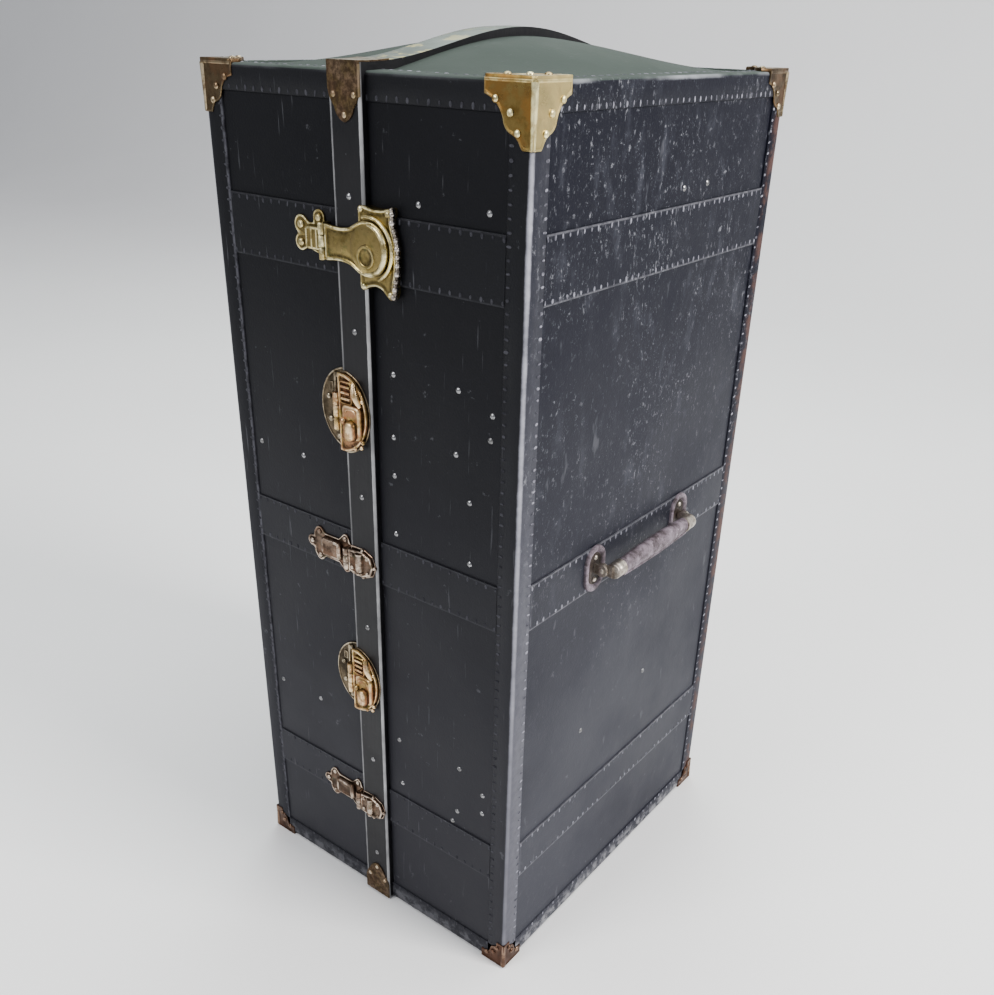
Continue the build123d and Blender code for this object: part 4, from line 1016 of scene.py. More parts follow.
# %% The stitch tree
def stitch_tree():
    """Seam edges in, small tilted stitches out, each lying on the face it belongs to."""
    tree = bpy.data.node_groups.new("stitches_along_seams", "GeometryNodeTree")
    sockets = tree.interface
    sockets.new_socket("Seams", in_out="INPUT", socket_type="NodeSocketGeometry")
    for name, value in (("Pitch", 0.0128), ("Length", 0.0066), ("Width", 0.0036), ("Rise", 0.0011)):
        given_size = sockets.new_socket(name, in_out="INPUT", socket_type="NodeSocketFloat")
        given_size.default_value = value
    sockets.new_socket("Thread", in_out="INPUT", socket_type="NodeSocketMaterial")
    sockets.new_socket("Stitches", in_out="OUTPUT", socket_type="NodeSocketGeometry")

    def add(kind, **settings):
        node = tree.nodes.new(kind)
        for key, value in settings.items():
            setattr(node, key, value)
        return node

    link = tree.links.new
    given, result = add("NodeGroupInput"), add("NodeGroupOutput")
    curve = add("GeometryNodeMeshToCurve")
    resample = add("GeometryNodeResampleCurve")
    resample.mode = "LENGTH"
    tangent = add("GeometryNodeInputTangent")
    facing = add("GeometryNodeInputNamedAttribute", data_type="FLOAT_VECTOR")
    facing.inputs["Name"].default_value = "facing"
    along = add("FunctionNodeAlignRotationToVector", axis="X")
    upright = add("FunctionNodeAlignRotationToVector", axis="Z", pivot_axis="X")
    ball = add("GeometryNodeMeshUVSphere")
    ball.inputs["Segments"].default_value = 8
    ball.inputs["Rings"].default_value = 5
    ball.inputs["Radius"].default_value = 0.5
    size = add("ShaderNodeCombineXYZ")
    shape = add("GeometryNodeTransform")
    scatter = add("GeometryNodeInstanceOnPoints")
    vary = add("FunctionNodeRandomValue", data_type="FLOAT_VECTOR")
    vary.inputs["Min"].default_value = (0.7, 0.75, 0.6)
    vary.inputs["Max"].default_value = (1.25, 1.15, 1.2)
    vary.inputs["Seed"].default_value = 7
    tilt = add("FunctionNodeRandomValue", data_type="FLOAT")
    tilt.inputs[2].default_value = -0.22
    tilt.inputs[3].default_value = 0.22
    tilt.inputs["Seed"].default_value = 11
    lean = add("ShaderNodeCombineXYZ")
    swing = add("GeometryNodeRotateInstances")
    real = add("GeometryNodeRealizeInstances")
    smooth = add("GeometryNodeSetShadeSmooth")
    dress = add("GeometryNodeSetMaterial")
    link(given.outputs["Seams"], curve.inputs["Mesh"])
    link(curve.outputs["Curve"], resample.inputs["Curve"])
    link(given.outputs["Pitch"], resample.inputs["Length"])
    link(tangent.outputs["Tangent"], along.inputs["Vector"])
    link(along.outputs["Rotation"], upright.inputs["Rotation"])
    link(facing.outputs["Attribute"], upright.inputs["Vector"])
    for name, axis in (("Width", "X"), ("Length", "Y"), ("Rise", "Z")):
        link(given.outputs[name], size.inputs[axis])
    link(ball.outputs["Mesh"], shape.inputs["Geometry"])
    link(size.outputs["Vector"], shape.inputs["Scale"])
    link(resample.outputs["Curve"], scatter.inputs["Points"])
    link(shape.outputs["Geometry"], scatter.inputs["Instance"])
    link(upright.outputs["Rotation"], scatter.inputs["Rotation"])
    link(vary.outputs["Value"], scatter.inputs["Scale"])
    link(tilt.outputs[1], lean.inputs["Z"])
    link(scatter.outputs["Instances"], swing.inputs["Instances"])
    link(lean.outputs["Vector"], swing.inputs["Rotation"])
    link(swing.outputs["Instances"], real.inputs["Geometry"])
    link(real.outputs["Geometry"], smooth.inputs["Geometry"])
    link(smooth.outputs["Geometry"], dress.inputs["Geometry"])
    link(given.outputs["Thread"], dress.inputs["Material"])
    link(dress.outputs["Geometry"], result.inputs["Stitches"])
    return tree


stitches = stitch_tree()


def socket_key(tree, name):
    """A modifier knows a tree's inputs by their identifiers, not by their names."""
    return next(s.identifier for s in tree.interface.items_tree if s.name == name)


def grown(source, tree, settings, name, body):
    """Runs a node tree on an object and keeps its result as a plain mesh."""
    modifier = source.modifiers.new("grow", "NODES")
    modifier.node_group = tree
    for key, value in settings.items():
        modifier[socket_key(tree, key)] = value
    bpy.context.view_layer.update()
    evaluated = source.evaluated_get(bpy.context.evaluated_depsgraph_get())
    data = bpy.data.meshes.new_from_object(evaluated)
    data.name = name
    source.modifiers.remove(modifier)
    bpy.data.objects.remove(source)
    made = bpy.data.objects.new(name, data)
    bpy.context.scene.collection.objects.link(made)
    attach(made, body)
    print(name, len(data.polygons), "faces")


# %% Sew both halves
for half in halves:
    grown(
        seam_object(half), stitches, {"Pitch": 0.0128, "Thread": seam_thread},
        f"{half}_stitches", half,
    )

# %% [markdown]
# ## Corner caps
# Each outer corner wears a pressed cap with scooped sides, small rivets and a rolled ridge
# up the corner. A cap is three pressed plates, one for each face, and three beads.


# %% Corner caps
def scoop(start, middle, end, count=7):
    """Points of an arc through three points, without its first."""
    (ax, ay), (bx, by), (cx, cy) = start, middle, end
    d = 2 * (ax * (by - cy) + bx * (cy - ay) + cx * (ay - by))
    aa, bb, cc = ax**2 + ay**2, bx**2 + by**2, cx**2 + cy**2
    ux = (aa * (by - cy) + bb * (cy - ay) + cc * (ay - by)) / d
    uy = (aa * (cx - bx) + bb * (ax - cx) + cc * (bx - ax)) / d
    radius = sqrt((ax - ux) ** 2 + (ay - uy) ** 2)
    first, mid, last = (atan2(y - uy, x - ux) for x, y in (start, middle, end))
    span = (last - first) % tau
    if (mid - first) % tau > span:
        span -= tau
    return [
        (ux + radius * cos(first + span * k / count), uy + radius * sin(first + span * k / count))
        for k in range(1, count + 1)
    ]


def cap_points(reach, drop, shoulder=13.0):
    """Outline of one face of a cap, from the corner along and down."""
    knee, toe = (reach * 0.61, drop * 0.56), (reach * 0.42, drop * 0.78)
    outline = [(-1.6, -1.6), (reach, -1.6), (reach, shoulder)]
    outline += scoop((reach, shoulder), (reach * 0.77, drop * 0.33), knee)
    outline += scoop(knee, (reach * 0.55, drop * 0.7), toe)
    outline += scoop(toe, (reach * 0.3, drop * 0.86), (shoulder, drop))
    return outline + [(-1.6, drop)]


def corner_cap(piece, side, turn_y, turn_z, size=1.0):
    """A cap on one corner; turn_y and turn_z point into the case, so -1 in z is a top cap."""
    top_cap = turn_z < 0
    x0 = side * half_width
    y0 = front_edge if turn_y > 0 else rear_edge
    z0 = case_height if top_cap else foot_height

    def inward(a, b, c):
        """A point a, b, c millimetres inside the corner along x, y and z."""
        return Vector(((x0 - side * a) * MM, (y0 + turn_y * b) * MM, (z0 + turn_z * c) * MM))

    def face_front(a, b, out):
        return ((x0 - side * a) * MM, (y0 - turn_y * out) * MM, (z0 + turn_z * b) * MM)

    def face_side(a, b, out):
        return ((x0 + side * out) * MM, (y0 + turn_y * a) * MM, (z0 + turn_z * b) * MM)

    def face_flat(a, b, out):
        x, y = x0 - side * a, y0 + turn_y * b
        rise = dome(x, y) - rim_height if top_cap else 0.0
        return (x * MM, y * MM, (z0 - turn_z * out + rise) * MM)

    upright = polygon(cap_points(57.0 * size, 59.0 * size))
    level = polygon(cap_points(57.0 * size, 57.0 * size))
    sheet = [
        (0.0, -0.5, 0.2), (0.0, 0.9, 0.5), (0.5, 1.6, 0.7), (1.6, 1.7, 0.72), (2.8, 1.2, 0.3),
        (4.0, 1.1, 0.4), (8.0, 1.2, 0.55),
    ]
    lift = 2.2 if top_cap else 0.0
    lid = [(inset, out + (lift if out > 0 else 0.0), polish) for inset, out, polish in sheet]
    centre = (17.0 * size, 17.0 * size)
    for place, shape, rise in (
        (face_front, upright, sheet), (face_side, upright, sheet), (face_flat, level, lid)
    ):
        piece.pressed(shape, centre, rise, place, 110, 90.0)
    studs = [(43.5 * size, 16.5 * size), (26 * size, 27.5 * size), (17.5 * size, 44.5 * size)]
    for place, normal, out in (
        (face_front, (0, -turn_y, 0), 1.0), (face_side, (side, 0, 0), 1.0),
        (face_flat, (0, 0, -turn_z), 3.0),
    ):
        if place is not face_flat or top_cap:
            for a, b in studs:
                piece.head(place(a, b, out), normal, 3.9, 2.6, 1.0)
    ridge = [inward(0.6, 0.6, t) for t in np.linspace(1, 58 * size, 12)]
    piece.bead(ridge, lambda t: 3.8 - 1.4 * t, polish=1.0, count=14)
    reach = np.linspace(1, 56 * size, 12)
    for lip in ([inward(t, 0.4, 0.4) for t in reach], [inward(0.4, t, 0.4) for t in reach]):
        piece.bead(lip, 2.5 if top_cap else 1.7, polish=0.75, count=12)


# %% Eight caps in three metals
for half in halves:
    groups = {}
    for turn_y in (1, -1):
        for turn_z in (1, -1):
            if half == "drawer_half" and turn_y > 0 and turn_z < 0:
                key, size = ("near_top_cap", brass), 1.0
            elif turn_z > 0:
                key, size = (f"{half}_bottom_caps", copper), 0.66
            else:
                key, size = (f"{half}_top_caps", bronze), 0.88
            groups.setdefault(key, Piece())
            corner_cap(groups[key], sides[half], turn_y, turn_z, size)
    for (name, metal), piece in groups.items():
        piece.finish(name, metal, half, [f"{half}_corner_caps"], "brass_caps")


# %% [markdown]
# ## Ends of the closing strip
# The strip ends under two small shields. They are pressed like the corner caps, with three
# rivets each, and the CAD saddle over the top edge stays under the upper one.

# %% Strip shields
def shield_points():
    """Outline of a shield, hanging down from the middle of its upper edge."""
    half, long = 22.5, 56.0
    waist = half * 0.62
    right = [(half, -long * 0.42)]
    right += scoop((half, -long * 0.42), (half * 0.84, -long * 0.62), (waist, -long * 0.74))
    right += scoop((waist, -long * 0.74), (half * 0.3, -long + 3.2), (0.0, -long))
    left = [(-x, z) for x, z in reversed(right[:-1])]
    return [(-half, 0.0), (half, 0.0)] + right + left


strip_middle = (strip_left + strip_right) / 2
shield_sheet = [
    (0.0, -0.4, 0.2), (0.0, 0.9, 0.5), (0.4, 1.3, 0.9), (1.6, 1.4, 1.0), (2.4, 1.0, 0.45),
    (4.0, 0.9, 0.5),
]
shields = Piece()
for low_z, flip in ((rim_height + strip_face, 1), (3.6, -1)):
    points = [(strip_middle + x, low_z + flip * z) for x, z in shield_points()]
    sheet = [(inset, strip_face + out, polish) for inset, out, polish in shield_sheet]
    shields.pressed(polygon(points), (strip_middle, low_z - flip * 22), sheet, count=110, far=80.0)
    for a, b in ((-14.5, 30), (14.5, 30), (0, 49)):
        stud = on_front(strip_middle + a, low_z - flip * b, strip_face + 0.9)
        shields.head(stud, (0, -1, 0), 3.3, 2.0)
fold = np.linspace(rim_height + strip_face - 2, 1096, 8)
shields.bead([on_front(strip_right - 0.4, z, strip_face + 0.8) for z in fold], 1.5)
shields.finish("strip_shields", shield_metal, "drawer_half", slot="bronze_caps")

# %% [markdown]
# ## The big clasp
# A trefoil plate carries the hinge. The hasp narrows, then ends in a round with a wide
# polished rim, and drops over a heavy eared strike. Raised edges catch most of the light.

# %% Clasp base
def knuckle_profile(length, radius=4.2):
    """A barrel with a groove near each end."""
    return [
        (0.0, radius - 1.2, 0.3), (0.2, radius - 0.3, 0.8), (0.8, radius, 1.0),
        (length - 0.8, radius, 1.0), (length - 0.2, radius - 0.3, 0.8), (length, radius - 1.2, 0.3),
    ]


def barrels(piece, x, z, length, which):
    """The knuckles of a closure: the fixed ends, or the moving middle."""
    third = length / 3
    spans = [(-1.5, -0.5), (0.5, 1.5)] if which == "fixed" else [(-0.5, 0.5)]
    for low, high in spans:
        start = z + low * third + 0.15
        piece.turned(knuckle_profile(third - 0.3), on_front(x, start, 12.9), (0, 0, 1), 24)
        if which == "fixed":
            post_z = z + (low + high) / 2 * third
            post = plank(x, post_z, 3.6, third / 2 - 0.3, 0.6)
            block_sides = [(0.0, 0.6, 0.2), (0.0, 12.0, 0.4)]
            piece.pressed(post, (x, post_z), block_sides, count=24, far=30)


def tongue_to_barrel(piece, x, z, half_x, half_z, top):
    """The flat tongue that joins a moving plate to its middle knuckle."""
    tongue = plank(x, z, half_x, half_z, 0.5)
    piece.pressed(tongue, (x, z), [(0.0, 11.2, 0.2), (0.0, top, 0.6)], count=24, far=20)


clasp = Piece()
lobes = melted(
    circle(-83, clasp_z + 12, 10.5), circle(-84, clasp_z - 7, 9.5), circle(-54, clasp_z + 22, 9),
    polygon([
        (-80, clasp_z + 15), (-37, clasp_z + 17), (-37, clasp_z - 20), (-52, clasp_z - 18),
        (-80, clasp_z - 10),
    ]),
    blend=5.0,
)
clasp.pressed(lobes, (-60, clasp_z), rolled_edge(2.0, 4.4, 2.2, 0.7, 0.9), count=150)
clasp.pressed(plank(-60, clasp_z, 13, 13, 4), (-60, clasp_z), soft_edge(3.0, 9.0, 3.0), count=60)
for k in range(3):
    rib = [on_front(-70 + 8 * k, clasp_z + t, 8.9) for t in np.linspace(-10, 10, 6)]
    clasp.bead(rib, 1.3)
for lobe_x, lobe_z in ((-83, 12), (-84, -7), (-54, 22)):
    clasp.head(on_front(lobe_x, clasp_z + lobe_z, 3.6), (0, -1, 0), 4.8, 3.4)
barrels(clasp, -41, clasp_z, 40, "fixed")
clasp.finish("clasp_trefoil_plate", clasp_metal, "hanging_half", ["clasp_base"], "clasp_brass")


# %% Clasp hasp
def hasp_arm(x, z):
    """The arm: as wide as the barrel, drawn in, then spreading to the round end."""
    share = np.clip((x + 36.5) / 51.5, 0, 1)
    half = 20 - 3.0 * np.sin(pi * share * 0.8) + 6.5 * share**3
    return np.maximum(np.abs(z - clasp_z) - half, np.maximum(-36.5 - x, x - 22)) * 0.92


hasp = Piece()
outline = melted(hasp_arm, circle(29, clasp_z, 29), blend=6.0)
hasp.pressed(outline, (6, clasp_z), [
    (0.0, 11.2, 0.2), (0.0, 13.2, 0.5), (0.5, 14.2, 0.9), (1.2, 14.7, 1.0), (2.6, 14.7, 1.0),
    (3.6, 14.0, 0.4), (4.6, 13.5, 0.15), (8.0, 13.7, 0.35), (12.0, 14.1, 0.5),
], count=180)
foot = on_front(29, clasp_z, 0)
hasp.turned([
    (13.0, 26.0, 0.5), (14.2, 25.8, 0.5), (15.0, 24.0, 0.55), (15.3, 20.0, 0.5),
    (15.4, 12.0, 0.5), (15.5, 2.0, 0.5),
], foot, (0, -1, 0), 72)
rim = arc_points(on_front, 29, clasp_z, 25.4, 88, -98, 14.4, 48)
hasp.bead(rim, lambda t: 1.2 + 2.5 * max(sin(pi * t), 0) ** 0.7, polish=1.0, count=16)
hasp.turned([
    (14.0, 13.0, 0.2), (15.6, 12.8, 0.5), (16.5, 12.0, 0.75), (16.7, 10.6, 0.75), (16.2, 9.4, 0.4),
    (15.7, 8.6, 0.1), (15.8, 3.0, 0.5),
], on_front(27, clasp_z - 8, 0), (0, -1, 0), 40)
hasp.head(on_front(27, clasp_z + 4, 14.8), (0, -1, 0), 2.0, 1.4, 0.1)
tongue_to_barrel(hasp, -38.5, clasp_z, 3.6, 6.2, 14.4)
barrels(hasp, -41, clasp_z, 40, "moving")
hasp.finish("clasp_swinging_hasp", clasp_metal, "clasp", ["clasp_hasp"], "clasp_brass")

# %% Clasp strike
def through(points, steps=5):
    """A smooth closed line through points."""
    closed = [points[-1], *points, points[0], points[1]]
    line = []
    for p0, p1, p2, p3 in zip(closed, closed[1:], closed[2:], closed[3:]):
        for t in np.linspace(0, 1, steps, endpoint=False):
            line.append(tuple(
                0.5 * (
                    2 * b + (c - a) * t + (2 * a - 5 * b + 4 * c - d) * t**2
                    + (3 * b - a - 3 * c + d) * t**3
                )
                for a, b, c, d in zip(p0, p1, p2, p3)
            ))
    return line


plate_line = [
    (13, 42), (17, 43.8), (24, 43), (36, 41.4), (48, 42), (55, 43.8), (60.5, 43.4), (61, 37),
    (60, 31), (62, 22), (65, 11), (66, 0), (66, -12), (65, -24), (62.5, -34), (62.5, -42),
    (58, -50), (52, -47), (45, -41), (36, -39), (26, -41), (18, -45), (13, -42), (12.4, -30),
    (12.2, 0), (12.4, 30),
]
plate_line = through([(x, clasp_z + z) for x, z in plate_line])
strike = Piece()
strike.pressed(polygon(plate_line), (38, clasp_z - 2), [
    (0.0, 0.0, 0.2), (0.0, 7.5, 0.3), (0.5, 9.8, 0.8), (1.3, 10.7, 0.95), (2.6, 10.7, 0.95),
    (3.8, 10.1, 0.2), (6.0, 9.9, 0.2), (9.0, 10.2, 0.5), (14.0, 10.3, 0.5),
], count=200)
strike.bead(arc_points(on_front, 29, clasp_z, 33.0, 104, -66, 12.0, 40), 2.2, polish=0.95, count=12)
for ear_x, ear_z in ((17, 39.5), (56, 38), (57.5, -44), (18, -40)):
    strike.head(on_front(ear_x, clasp_z + ear_z, 9.6), (0, -1, 0), 3.6, 3.0)
strike.finish(
    "clasp_eared_strike", clasp_metal, "drawer_half", ["clasp_strike", "clasp_guard"], "clasp_brass"
)

# %% Roped edge of the strike
rope = Piece()
edge = [(x, z) for x, z in plate_line if x > 57 and clasp_z - 48 < z < clasp_z + 44]
steps = [np.hypot(b[0] - a[0], b[1] - a[1]) for a, b in zip(edge, edge[1:])]
lengths = np.concatenate([[0], np.cumsum(steps)])
for k, run in enumerate(np.arange(1.5, lengths[-1], 4.3)):
    x, z = (np.interp(run, lengths, [point[i] for point in edge]) for i in (0, 1))
    worn = (0.6, 1.5, 0.9, 2.0, 0.3, 1.2)[k % 6]
    bulge = 0.2 + 1.8 * sin(pi * run / lengths[-1])
    foot = on_front(x + bulge - 1.2, z, 7.6)
    rope.head(foot, (0.35, -1, 0), 2.2 + 0.8 * worn, 3.4 + 0.6 * worn, 0.5 + 0.25 * worn, 1.0)
rope.finish("clasp_roped_edge", rope_metal, "drawer_half", slot="clasp_brass")

# %% [markdown]
# ## Two locks
# Each lock is an oval in three parts: a hinge plate with rivets on the left, a swinging
# cover with its case, louvred slots and a round barrel, and a thin strike under it.


# %% Locks
def lock(z, label, body):
    """One lock at a height; its cover rides on its own body."""
    brass_slot = "lock_brass"
    whole = ellipse(-24, z, 44, 51)
    left = kept_where(whole, lambda x, y: x + 23.4)
    base = Piece()
    base.pressed(left, (-40, z), rolled_edge(0.0, 2.4, 2.0, 0.6, 0.8), count=100)
    for x, up in ((-38, 40), (-55, 11), (-53, -17), (-41, -37)):
        base.head(on_front(x, z + up, 1.8), (0, -1, 0), 3.8, 3.0)
    base.bead([on_front(-42.5, z + t, 2.6) for t in np.linspace(-30, 43, 14)], 1.9)
    base.pressed(plank(-50, z + 24, 4, 6, 2), (-50, z + 24), soft_edge(1.6, 3.2, 1.0), count=32)
    name = f"lock_hinge_plate_{label}"
    base.finish(name, plate_metal, "hanging_half", ["lock_bases"], brass_slot)
    knuckles = Piece()
    barrels(knuckles, -32, z, 46, "fixed")
    knuckles.finish(f"lock_knuckles_{label}", lock_metal, "hanging_half", slot=brass_slot)

    under = Piece()
    right = kept_where(whole, lambda x, y: -22.7 - x)
    under.pressed(right, (-2, z), [
        (0.0, 9.3, 0.2), (0.0, 10.2, 0.6), (0.6, 10.7, 0.95), (1.6, 10.7, 0.95), (2.4, 10.4, 0.1),
    ], count=80)
    name = f"lock_strike_plate_{label}"
    under.finish(name, plate_metal, "drawer_half", ["lock_strikes"], brass_slot)

    cover = Piece()
    shape = kept_where(ellipse(-24, z, 41.4, 48), lambda x, y: -27.3 - x)
    cover.pressed(shape, (-6, z), [
        (0.0, 11.2, 0.2), (0.0, 13.3, 0.5), (0.5, 14.3, 0.8), (1.2, 14.6, 0.9), (2.2, 14.6, 0.85),
        (3.4, 13.9, 0.15), (5.0, 13.5, 0.1), (7.5, 13.7, 0.3),
    ], count=120)
    cover.pressed(plank(-4, z - 8, 14.5, 21, 6), (-4, z - 8), [
        (0.0, 13.2, 0.1), (0.0, 15.6, 0.4), (0.8, 17.6, 0.75), (2.2, 18.8, 0.95),
        (4.0, 19.0, 0.7), (7.0, 19.0, 0.4),
    ], count=72)
    # The plate behind the louvre bars has polish 0 inside, so the slots between the bars take the
    # dark dirt colour: dirt, and painted shade in the slots.
    cover.pressed(plank(-13, z + 26, 10, 14, 4), (-13, z + 26), [
        (0.0, 13.2, 0.1), (0.0, 15.4, 0.5), (0.8, 16.3, 0.75), (1.8, 16.3, 0.6),
        (2.4, 14.6, 0.0), (4.0, 14.2, 0.0),
    ], count=60)
    for k in range(3):
        run = [on_front(-20 + t, z + 33 - 7.2 * k, 15.6) for t in np.linspace(0, 14, 6)]
        cover.bead(run, 1.7, polish=0.85)
    shoulder = [
        on_front(-0.5 + 9.5 * t**1.4, z + 40 - 27 * t, 15.4 + 1.6 * sin(pi * t))
        for t in np.linspace(0, 1, 12)
    ]
    cover.bead(shoulder, lambda t: 2.2 + 2.0 * sin(pi * t), polish=1.0, count=14)
    cover.pressed(plank(-3, z - 17, 8.4, 13, 8.0), (-3, z - 17), [
        (0.0, 17.5, 0.05), (0.0, 20.6, 0.2), (0.9, 23.0, 0.5), (2.2, 24.6, 0.85), (4.2, 25.5, 1.0),
        (6.5, 25.8, 1.0),
    ], count=60, far=40)
    for offset in (-14.5, -11.2):
        groove = [on_front(offset, z + t, 19.0) for t in np.linspace(-27, -12, 6)]
        cover.bead(groove, 1.1, polish=0.6)
    cover.head(on_front(-15.5, z - 7, 18.0), (0, -1, 0), 4.6, 5.2, 1.0)
    cover.bead(arc_points(on_front, -3, z + 4, 8.0, 10, 170, 19.0, 14, 0.6), 1.3, polish=0.8)
    for x, up in ((11.5, 20), (10.5, -30), (-2.5, -40), (8.0, -37)):
        cover.head(on_front(x, z + up, 13.8), (0, -1, 0), 2.8, 2.4)
    tongue_to_barrel(cover, -29.6, z, 3.4, 7.0, 14.3)
    barrels(cover, -32, z, 46, "moving")
    cover.finish(f"lock_cover_{label}", lock_metal, body, [f"lock_hasp_{label}"], brass_slot)


lock(lock_z[0], "upper", "upper_lock")
lock(lock_z[1], "lower", "lower_lock")

# %% [markdown]
# ## Two latches
# The latches are plainer: a lobed plate with a ribbed hump, a six-sided lever with a curl
# that a thumb lifts, and a strike that shows a narrow border round the lever.


# %% Latches
def pointed_plate(z, left, shoulder_z, tip, side_z, corner):
    """A plate with a straight left side that narrows to a point on the right."""
    upper = [(left, side_z), (-1, shoulder_z), corner]
    lower = [(x, z - rise) for x, rise in upper]
    return polygon(lower + [(tip, z)] + [(x, z + rise) for x, rise in reversed(upper)])


def latch(z, label, body):
    """One latch at a height; its lever rides on its own body."""
    bronze_slot = "latch_bronze"
    base = Piece()
    shape = melted(
        circle(-100, z, 8), circle(-86, z + 17, 7), circle(-86, z - 17, 7),
        circle(-39, z + 20, 7), circle(-39, z - 20, 7), plank(-62, z, 34, 17, 4), blend=5,
    )
    base.pressed(shape, (-64, z), rolled_edge(2.0, 4.4, 2.0, 0.7, 0.8), count=140)
    hump = plank(-62.5, z, 18, 13, 6)
    base.pressed(hump, (-62.5, z), soft_edge(3.2, 9.4, 3.6), count=64)
    for rib_x in (-76, -49):
        rib = [on_front(rib_x, z + t, 9.2 - abs(t) * 0.12) for t in np.linspace(-11, 11, 8)]
        base.bead(rib, 1.5)
    base.bead([on_front(-74 + t, z + 11.5, 8.4) for t in np.linspace(0, 24, 8)], 1.3, polish=1.0)
    for x, up in ((-100, 0), (-86, 17), (-86, -17), (-39, 20), (-39, -20)):
        base.head(on_front(x, z + up, 3.7), (0, -1, 0), 3.6, 2.6)
    barrels(base, -29, z, 30, "fixed")
    name = f"latch_plate_{label}"
    base.finish(name, latch_metal, "hanging_half", ["latch_bases"], bronze_slot)

    under = Piece()
    under.pressed(pointed_plate(z, -22.6, 21, 21, 20, (15, 14)), (-4, z), [
        (0.0, 9.3, 0.2), (0.0, 10.1, 0.6), (0.6, 10.6, 0.9), (1.8, 10.6, 0.9), (2.4, 10.4, 0.3),
    ], count=90)
    for x, up in ((-1, 18.6), (-1, -18.6), (18.4, 0)):
        under.head(on_front(x, z + up, 10.4), (0, -1, 0), 2.4, 3.6)
    name = f"latch_strike_plate_{label}"
    under.finish(name, latch_metal, "drawer_half", ["latch_strikes"], bronze_slot)

    lever = Piece()
    lever.pressed(pointed_plate(z, -24.5, 18, 18, 15, (14, 12)), (-4, z), [
        (0.0, 11.2, 0.2), (0.0, 13.2, 0.5), (0.5, 14.2, 0.9), (1.2, 14.6, 1.0), (2.6, 14.6, 1.0),
        (3.4, 14.0, 0.3), (5.0, 13.8, 0.3),
    ], count=100)
    curl = [(t, 5.0 - 1.6 * abs(t / 13 - 1) ** 3, 1.0) for t in np.linspace(0, 26, 14)]
    lever.turned(curl, on_front(-5, z - 13, 14.2), (0, 0, 1), 24)
    collar = [(0, 3.0, 0.4), (0.5, 4.6, 1.0), (3.0, 5.4, 1.0), (3.6, 4.6, 0.6)]
    for start in (-15, 11.4):
        lever.turned(collar, on_front(-5, z + start, 14.0), (0, 0, 1), 20)
    for x, up in ((8.5, 10.5), (8.5, -10.5), (-18, 9), (-18, -9)):
        lever.head(on_front(x, z + up, 13.9), (0, -1, 0), 2.8, 2.0)
    tongue_to_barrel(lever, -26.8, z, 3.4, 4.7, 14.3)
    barrels(lever, -29, z, 30, "moving")
    name = f"latch_lever_plate_{label}"
    lever.finish(name, latch_metal, body, [f"latch_lever_{label}"], bronze_slot)


latch(latch_z[0], "middle", "middle_latch")
latch(latch_z[1], "lower", "lower_latch")

# %% [markdown]
# ## Side handles
# A rolled leather grip hangs between two oval leather loops that hold it to the side. The
# grip is an oval section swept along a line with a swelling, a sewn seam and metal ends.


# %% Handles
loop_profile = [
    (0.0, -0.3, 0.2), (0.0, 1.8, 0.4), (0.7, 3.2, 0.8), (2.0, 3.8, 0.9), (6.0, 3.6, 0.9),
    (7.6, 2.4, 0.4), (8.2, 1.2, 0.2), (10.0, 1.2, 0.3),
]
loop_sheet = [(inset, trim + out, polish) for inset, out, polish in loop_profile]


